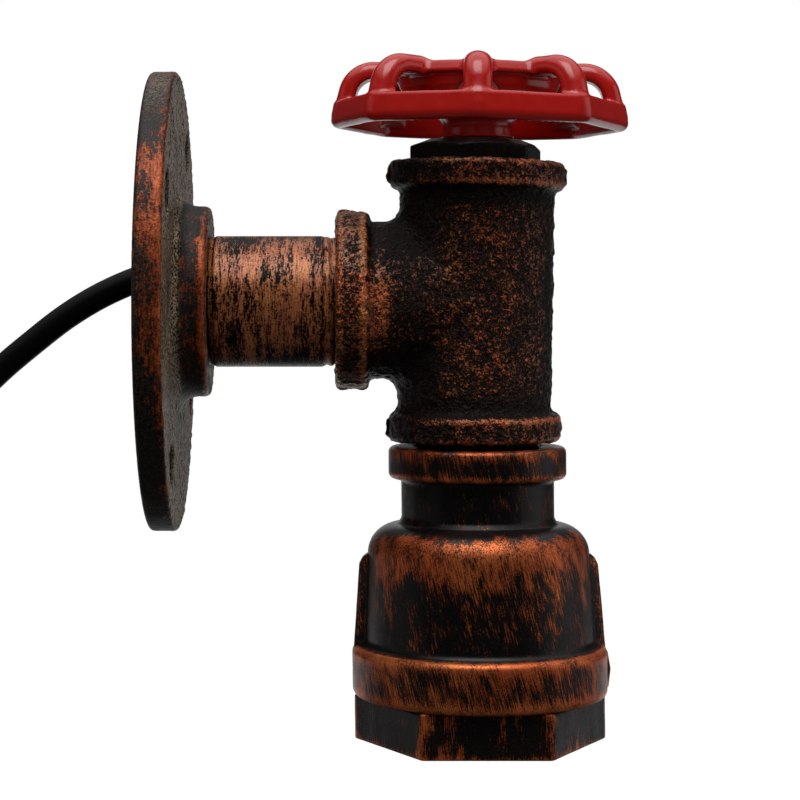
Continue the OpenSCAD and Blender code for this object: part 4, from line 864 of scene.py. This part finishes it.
# Field of the casting: the lesser of plate and hub, with an arc between them, less the bore and the
# countersunk holes.
def flangeField(p, s=flangeSet):
    x, y, z = p[..., 0], p[..., 1], p[..., 2]
    r = np.hypot(y, z)
    plate = roundBox(r, x - s["plate"] / 2, s["radius"], s["plate"] / 2, s["edge"])
    hub = roundBox(r, x - s["hubFace"] / 2, s["hub"], s["hubFace"] / 2, s["hubEdge"])
    u, v = np.maximum(s["fillet"] - plate, 0), np.maximum(s["fillet"] - hub, 0)
    inFillet = (x > s["plate"] - 1) & (r < s["hub"] + 8) & (r > s["hub"] - 1) & (x < s["hubFace"] - 1)
    solid = np.where(inFillet, np.maximum(s["fillet"], np.minimum(plate, hub)) - np.hypot(u, v),
                     np.minimum(plate, hub))
    solid = softMax(solid, s["bore"] + np.maximum(0, x - s["hubFace"] + 0.6) - r, 0.3)
    for turn in (45, 135, 225, 315):
        a = math.radians(turn + s["turn"])
        # the holes are set out from straight down (-Z) towards +Y
        holeR = np.hypot(z + s["circle"] * math.cos(a), y - s["circle"] * math.sin(a))
        flare = np.maximum(0, x - s["plate"] + s["mouth"] - s["hole"])
        solid = softMax(solid, (s["hole"] + flare - holeR) * 0.8, 0.35)
    return solid


# Skin of the field, moved along its slope by slow lumps, and on the face by the grain of dust and sand.
def makeFlange(s):
    reach = s["radius"] + 1.5
    low, high = (-1, -reach, -reach), (s["hubFace"] + 1.2, reach, reach)
    points, faces = fieldSkin(flangeField, low, high, s["cell"])
    slope = unitRows(slopeOf(flangeField, points))
    x, y, z = points.T
    r = np.hypot(y, z)
    outside = (r > s["bore"] + 0.8) & (x > 0.4)
    lumps = cloud(points, 6.0, 61) - 0.5 + 0.5 * (cloud(points, 1.5, 62) - 0.5)
    onFace = smoothStep(0.6, 0.9, slope[:, 0]) * (r > s["hub"] - 3) * (r < s["radius"] - 0.6)
    onFace = onFace * (x > s["plate"] - 1)
    sand = cloud(points, (3, 0.9, 0.9), 64) - 0.5
    points = points + slope * ((s["wave"] * lumps + s["sand"] * sand * onFace) * outside)[:, None]
    rub = flangeRub(points, (x, z, r), slope, s)
    # pale specks on the face, heavier in slow patches: partly dust, partly painted glints of the grains
    base, more = s["dustGlintAndSheen"]
    dustGlintAndSheen = onFace * (base + more * cloud(points, 6.0, 65))
    # on the rim, more specks on its upward faces: partly dust settled there, partly painted sheen of the
    # light above
    base, more = s["rimDustAndSheen"]
    dustGlintAndSheen = np.maximum(dustGlintAndSheen, base + more * smoothStep(0.7, 0.95, slope[:, 2]) * (r > s["hub"] + 1))
    return buildPiece("flangeCasting", points, faces, copperOnFlange, baseBody, ["wall_flange"],
                      "rubbed_copper", {"rub": rub, "dustGlintAndSheen": dustGlintAndSheen})


# Where the flange is rubbed: its rim, most at mid height and along the front edge; a little on the face;
# and the hub, most round its outer edge.
def flangeRub(points, place, slope, s):
    x, z, r = place
    middle = smoothStep(-24, -6, z) * smoothStep(40, 22, z)
    streak = cloud(points, (2.2, 7, 7), 63) - 0.5
    base, more, streaks = s["rimRub"]
    rim = smoothStep(s["radius"] - 1.2, s["radius"] - 0.4, r) * (base + more * middle + streaks * streak)
    base, more = s["frontEdgeRub"]
    edge = hump(x, s["plate"] - 0.4, 0.7 + 1.1 * middle)
    edge = edge * smoothStep(s["radius"] - 1.6, s["radius"] - 0.7, r)
    rim = rim + edge * (base + more * middle)
    face = (slope[:, 0] > 0.6) * (r > s["hub"] + 1) * (r < s["radius"] - 1.2) * s["faceRub"]
    base, more, edge = s["hubRub"]
    hub = base + more * smoothStep(19, 8, np.abs(z)) + edge * hump(x, s["hubFace"] - 0.7, 0.9)
    side = smoothStep(s["hub"] - 1.6, s["hub"] - 0.6, r) * smoothStep(30, 18, r)
    hub = np.maximum((x > s["plate"] + 1.2) * side * hub, (x > s["hubFace"] - 0.5) * s["hubFaceRub"])
    return np.maximum(np.maximum(rim, face), hub)


makeFlange(flangeSet)


# Handwheel: eight-cornered drafted skirt, eight bars that lean in and bend over onto a top ring, and a
# hub that opens into a pierced dish. The parts run into each other with soft fillets, as enamelled
# castings do. It sits a little askew on its spindle, as the tee's top does. Ring: outer radius at its
# foot and top, bore, and the two heights. Hole: radius and height of its middle, and its own radius.
wheelSet = {
    "centre": (66.8, 0, 33.4), "turn": -4, "count": 8, "corner": 30.7, "low": 2.0, "high": 7.6,
    "bevel": 1.2, "draft": 0.15, "wall": 2.6, "barT": 1.9, "barW": 3.05, "crown": 3.2, "footIn": -0.15,
    "barLow": 4.6, "lean": 14, "bend": (21.5, 8.4), "bendR": 5.65, "ring": (19.0, 17.9, 15.5, 12.4, 14.8),
    "foot": 7.4, "flare": (7, 2.2, 2.6), "bowl": (9.6, 11.8, 7.1, 7.0), "inside": (8.1, 12.8, 7.4, 6.4),
    "lip": 16.7, "boss": (5.5, 6.4, 9.1), "hole": (12.45, 8.9, 4.5), "square": 2.55, "cell": 0.42,
    "barIn": 16.2, "worn": (1.2, 0.36), "blend": 1.2, "wave": 0.12, "tilt": 0.0165, "tiltFrom": -12,
    "shift": 0.25,
}


# Distance from points of a plane to the stretch between two points.
def toStretch(a, b, start, end):
    (ax, az), (bx, bz) = start, end
    dx, dz = bx - ax, bz - az
    t = np.clip(((a - ax) * dx + (b - az) * dz) / (dx * dx + dz * dz), 0, 1)
    return np.hypot(a - ax - t * dx, b - az - t * dz)


# Distance to a closed outline: least distance to its sides, negative where a ray crosses it oddly.
def toOutline(a, b, corners):
    least, inside = np.full(a.shape, 99.0), np.zeros(a.shape, bool)
    for (ax, az), (bx, bz) in zip(corners, corners[1:] + corners[:1]):
        least = np.minimum(least, toStretch(a, b, (ax, az), (bx, bz)))
        if az != bz:
            inside ^= ((az > b) != (bz > b)) & (a < ax + (b - az) * (bx - ax) / (bz - az))
    return np.where(inside, -least, least)


# Quarter of an ellipse about (x, z) = (middle, height), reaching wide outwards and deep downwards.
def quarterBowl(middle, height, wide, deep, angles):
    return [(middle + wide * math.sin(k), height - deep * math.cos(k)) for k in angles]


# Field of the wheel, folded into one eighth about its bar: soft least of skirt, bar, ring and dish, less
# the dish's four round holes and the hub's square.
def wheelField(p, s=wheelSet):
    turn = math.radians(s["turn"])
    px, py, z = (p[..., i] - s["centre"][i] for i in range(3))
    x, y = px * math.cos(turn) + py * math.sin(turn), py * math.cos(turn) - px * math.sin(turn)
    r, t = np.hypot(x, y), np.arctan2(y, x)
    sector = tau / s["count"]
    fold = (t + sector / 2) % sector - sector / 2
    u, v = r * np.cos(fold), r * np.sin(fold)
    cosHalf, sinHalf = math.cos(sector / 2), math.sin(sector / 2)
    # how far out of its side a point lies, with the eight corners worn round
    softness, back = s["worn"]
    side = u * cosHalf + np.sqrt(v * v + softness) * sinHalf - back
    outer = s["corner"] * cosHalf - s["draft"] * (z - s["low"] - s["bevel"])
    skirt = softMax(side - outer, outer - s["wall"] - side, 0.5)
    skirt = softMax(skirt, np.maximum(z - s["high"], s["low"] - z), 0.7)
    skirt = softMax(skirt, (side - outer + s["low"] + s["bevel"] - z) * 0.7, 0.6)
    # how far out of a bar's middle line a point lies: beside the leg, round the bend, over the ring
    a = math.radians(s["lean"])
    du, dz = u - s["bend"][0], z - s["bend"][1]
    angle = np.arctan2(dz, du)
    out = np.where(angle > a, np.hypot(du, dz), du * math.cos(a) + dz * math.sin(a))
    out = np.where(angle > math.pi / 2, dz, out)
    out = out - s["bendR"] + s["footIn"] * smoothStep(s["high"] + 2, s["barLow"], z)
    crown = np.hypot(out + s["crown"] - s["barT"], v) - s["crown"]
    bar = softMax(softMax(crown, -s["barT"] - out, 0.9), np.abs(v) - s["barW"], 0.9)
    bar = softMax(bar, np.maximum(s["barLow"] - z, s["barIn"] - u), 0.9)
    ringOuter, ringTop, ringBore, ringLow, ringHigh = s["ring"]
    share = (z - ringLow) / (ringHigh - ringLow)
    ring = softMax(side - (ringOuter + (ringTop - ringOuter) * share) * cosHalf, ringBore - r, 0.5)
    ring = softMax(ring, np.maximum(z - ringHigh, ringLow - z), 0.6)
    quarterTurn = np.radians(range(0, 91, 15))
    flareX, flareZ, flareR = s["flare"]
    flare = [(flareX + flareR * (1 - math.cos(k)), flareZ + flareR * math.sin(k)) for k in quarterTurn]
    bowl = quarterBowl(*s["bowl"], quarterTurn[1:])
    inside = quarterBowl(*s["inside"], quarterTurn[::-1])
    bossR, bossLow, bossHigh = s["boss"]
    dish = toOutline(r, z, [(0, 0), (s["foot"], 0)] + flare + bowl + [(s["lip"], s["inside"][1])] + inside + [
        (bossR, bossLow), (bossR, bossHigh), (0, bossHigh)]) - 0.05
    quarter = (t + tau / 8) % (tau / 4) - tau / 8
    wu, wv, wz = r * np.cos(quarter) - s["hole"][0], r * np.sin(quarter), z - s["hole"][1]
    along = (wz - wu) * math.sqrt(0.5)
    across = np.hypot((wu + wz) * math.sqrt(0.5), wv)
    hole = np.maximum(across - s["hole"][2], np.abs(along) - 4)
    dish = softMax(dish, -hole, 0.7)
    # the bars stand flush with the skirt, so their blend narrows there and doesn't swell
    flush = s["blend"] * (1.15 - 0.7 * smoothStep(26.5, 28.5, u))
    solid = softMin(softMin(skirt, bar, flush), softMin(ring, dish, 1.0), s["blend"])
    return softMax(solid, s["square"] - np.maximum(np.abs(x), np.abs(y)), 0.3)


# Skin of the field, moved along its slope by the enamel's slow waves, then tilted outside the hub.
def makeWheel(s):
    cx, cy, cz = s["centre"]
    low, high = (cx - 32, cy - 32, cz - 1), (cx + 32, cy + 32, cz + 16.5)
    points, faces = fieldSkin(wheelField, low, high, s["cell"])
    slope = unitRows(slopeOf(wheelField, points, 0.15))
    waves = cloud(points, 4.5, 71) - 0.5 + 0.3 * (cloud(points, 1.8, 72) - 0.5)
    away = smoothStep(5.4, 6.4, np.hypot(points[:, 0] - cx, points[:, 1]))
    points = points + slope * (s["wave"] * waves * away)[:, None]
    x = points[:, 0] - cx
    share = smoothStep(7, 14, np.hypot(x, points[:, 1]))
    points[:, 2] -= s["tilt"] * (x - s["tiltFrom"]) * share
    points[:, 0] += s["shift"] * share
    return buildPiece("wheelCasting", points, faces, redEnamel, wheelBody, ["handwheel"], "red_enamel")


makeWheel(wheelSet)


# Lamp shell: brass strip rolled to the round lamp thread, with a leg that folds in over the well's floor.
shellSet = {
    "axis": 66.8, "foot": -87.3, "start": 1.2, "top": 20.4, "middle": 13.72, "wave": 0.3, "half": 0.12,
    "pitch": 3.63, "lead": 0.28, "leg": 2.2, "columns": 120, "rows": 76,
    "legLoop": [(-13.7, 19.4), (-13.7, 24.6), (-13.5, 24.85), (-13, 24.95), (-7.4, 24.95), (-7.4, 24.6),
                (-13, 24.6), (-13.3, 24.5), (-13.4, 24.3), (-13.4, 19.4)],
}


# Radius: the middle plus a cosine of the height less the turn, which fades at both ends, and a lead-in.
# The leg is its loop carried across, and shrunk to its middle at both sides.
def makeLampShell(s):
    turns = fullTurn(s["columns"])
    z = np.linspace(s["start"], s["top"], s["rows"])[:, None]
    fade = smoothStep(s["start"] + 0.4, s["start"] + 1.6, z) * smoothStep(s["top"] - 0.4, s["top"] - 1.6, z)
    middle = s["middle"] + s["wave"] * fade * np.cos(tau * z / s["pitch"] - turns)
    flare = s["lead"] * (1 - smoothStep(s["start"], s["start"] + 0.9, z))
    outer, inner = middle + s["half"] + flare, middle - s["half"] + flare
    height = s["foot"] + np.vstack([z, z[::-1]])
    shell = around(np.vstack([outer, inner[::-1]]), height, turns, "z", s["axis"])
    loop = np.array(s["legLoop"])
    middle = loop.mean(0)
    strip = []
    for share, across in ((0.0, -s["leg"]), (1.0, -s["leg"]), (1.0, s["leg"]), (0.0, s["leg"])):
        section = middle + (loop - middle) * share
        strip.append(np.c_[s["axis"] + section[:, 0], 0 * section[:, 0] + across, s["foot"] + section[:, 1]])
    grids = joinGrids([(shell, True, True), (np.stack(strip), False, True)])
    return buildPiece("lampShell", *grids, brassStrip, baseBody, ["holder_shell"], "brass", weld=True)


makeLampShell(shellSet)


# CAD nodes whose own shape is right take a finished material.
nodeFinish = [
    (zincPlate, ["spindle", "wheel_washer", "wheel_nut", "switch_screws", "hanger_disc", "holder_screws",
                 "anchor_screws"]),
    (brassStrip, ["switch_bushing", "switch_jam_nut", "switch_blade", "switch_contacts", "hanger_tube",
                  "hanger_nut", "earth_ring", "holder_contact", "holder_terminals"]),
    (phenolic, ["switch_housing", "switch_base", "switch_rotor", "cord_anchor"]),
    (porcelain, ["holder_cap", "holder_body"]), (softPvc, ["cord_inside"]),
    (brownCore, ["core_live", "core_switched"]), (blueCore, ["core_neutral"]), (greenCore, ["core_earth"]),
]
for material, names in nodeFinish:
    for name in names:
        materials = nodes[name].data.materials
        materials.clear()
        materials.append(material)
print("CAD pieces finished")


# Studio: white behind the object, dim in front and below, a big soft light overhead and one at each side.
# Each light: its place, what it aims at, its size in metres and its power in watts.
studioSet = {
    "floor": -215, "floorSize": 1600, "grey": "#4c4c4a", "floorWhite": 0.94, "front": 0.60, "behind": 0.85,
    "below": 0.14, "frontSeen": 0.03, "ceilingSeen": 1.3,
    "lights": {
        "overhead": ((45, -260, 600), (45, 0, 0), 0.50, 3.2),
        "left": ((-560, -40, 80), (50, 0, 0), 0.50, 0.25),
        "right": ((640, -40, 80), (50, 0, 0), 0.50, 0.6)},
}


# Square lights turned so that each looks along the way from its place to its aim.
def makeLights(lights):
    for name, (place, aim, size, power) in lights.items():
        data = bpy.data.lights.new(name, "AREA")
        data.shape, data.size, data.energy = "SQUARE", size, power
        lamp = bpy.data.objects.new(name, data)
        lamp.location = [v * mm for v in place]
        x, y, z = np.subtract(aim, place)
        lamp.rotation_euler = (math.atan2(math.hypot(x, y), -z), 0, math.atan2(-x, y))
        bpy.context.scene.collection.objects.link(lamp)


# Whether the camera looks straight at something, and whether it looks by way of a mirror or glass.
def lookingRays(tree):
    path = addNode(tree, "LightPath", take=None).outputs
    mirrored = (path["Is Glossy Ray"], path["Is Transmission Ray"])
    return path["Is Camera Ray"], addNode(tree, "Math", mirrored, operation="MAXIMUM")


# World: soft light brighter towards the back and the top. Mirrors see a white backdrop, a bright ceiling
# and little else, and the camera sees white.
def makeWorld(s):
    world = bpy.data.worlds.new("studio")
    world.cycles.sampling_method = "NONE"  # each surface's own rays find the world, so their kind is known
    bpy.context.scene.world = world
    world.use_nodes = True
    tree = world.node_tree
    tree.nodes.clear()
    place = addNode(tree, "TexCoord", take="Generated")
    way = addNode(tree, "SeparateXYZ", (place,), None).outputs
    seen, mirrored = lookingRays(tree)
    soft = addNode(tree, "MapRange", (way["Y"], 0.0, 0.8, s["front"], s["behind"]), **stepped)
    height = addNode(tree, "MapRange", (way["Z"], -0.5, 0.5, s["below"], 1.0), **stepped)
    soft = addNode(tree, "Math", (soft, height), operation="MULTIPLY")
    backdrop = addNode(tree, "MapRange", (way["Y"], 0.90, 0.99, s["frontSeen"], 1.0), **stepped)
    ceiling = addNode(tree, "MapRange", (way["Z"], 0.5, 0.8, 0.0, s["ceilingSeen"]), **stepped)
    backdrop = addNode(tree, "Math", (backdrop, ceiling), operation="MAXIMUM")
    level = addNode(tree, "Mix", {0: mirrored, 2: soft, 3: backdrop})
    level = addNode(tree, "Math", (level, seen), operation="MAXIMUM")
    light = addNode(tree, "Background", {"Color": (1, 1, 1, 1), "Strength": level})
    addNode(tree, "OutputWorld", {"Surface": light}, None)


# Floor: grey to what stands on it, white to the camera and to mirrors that look past the object, and
# clear to a camera below it.
def makeFloor(s):
    half, low = s["floorSize"] / 2 * mm, s["floor"] * mm
    mesh = bpy.data.meshes.new("floor")
    corners = [(-half, -half, low), (half, -half, low), (half, half, low), (-half, half, low)]
    mesh.from_pydata(corners, [], [(0, 1, 2, 3)])
    floor = bpy.data.objects.new("floor", mesh)
    bpy.context.scene.collection.objects.link(floor)
    material, tree, shader = newMaterial("paleFloor")
    seen, mirrored = lookingRays(tree)
    place = addNode(tree, "TexCoord", take="Object")
    past = addNode(tree, "SeparateXYZ", (place,), "Y")
    past = addNode(tree, "MapRange", (past, 0.15, 0.45), **stepped)
    mirrored = addNode(tree, "Math", (mirrored, past), operation="MULTIPLY")
    white = addNode(tree, "Math", (seen, mirrored), operation="MAXIMUM")
    white = addNode(tree, "Math", (white, s["floorWhite"], 0.0), **multiplyAdd)
    fillIn(tree, shader, {"Base Color": srgb(s["grey"]), "Roughness": 0.9, "Emission Color": (1, 1, 1, 1),
                          "Emission Strength": white})
    below = addNode(tree, "NewGeometry", take="Backfacing")
    below = addNode(tree, "Math", (below, seen), operation="MULTIPLY")
    clear = addNode(tree, "BsdfTransparent")
    both = addNode(tree, "MixShader", (below, shader.outputs[0], clear))
    tree.links.new(both, tree.nodes["Material Output"].inputs["Surface"])
    mesh.materials.append(material)


makeLights(studioSet["lights"])
makeWorld(studioSet)
makeFloor(studioSet)
bpy.context.scene.view_settings.view_transform = "Standard"
print("studio made")
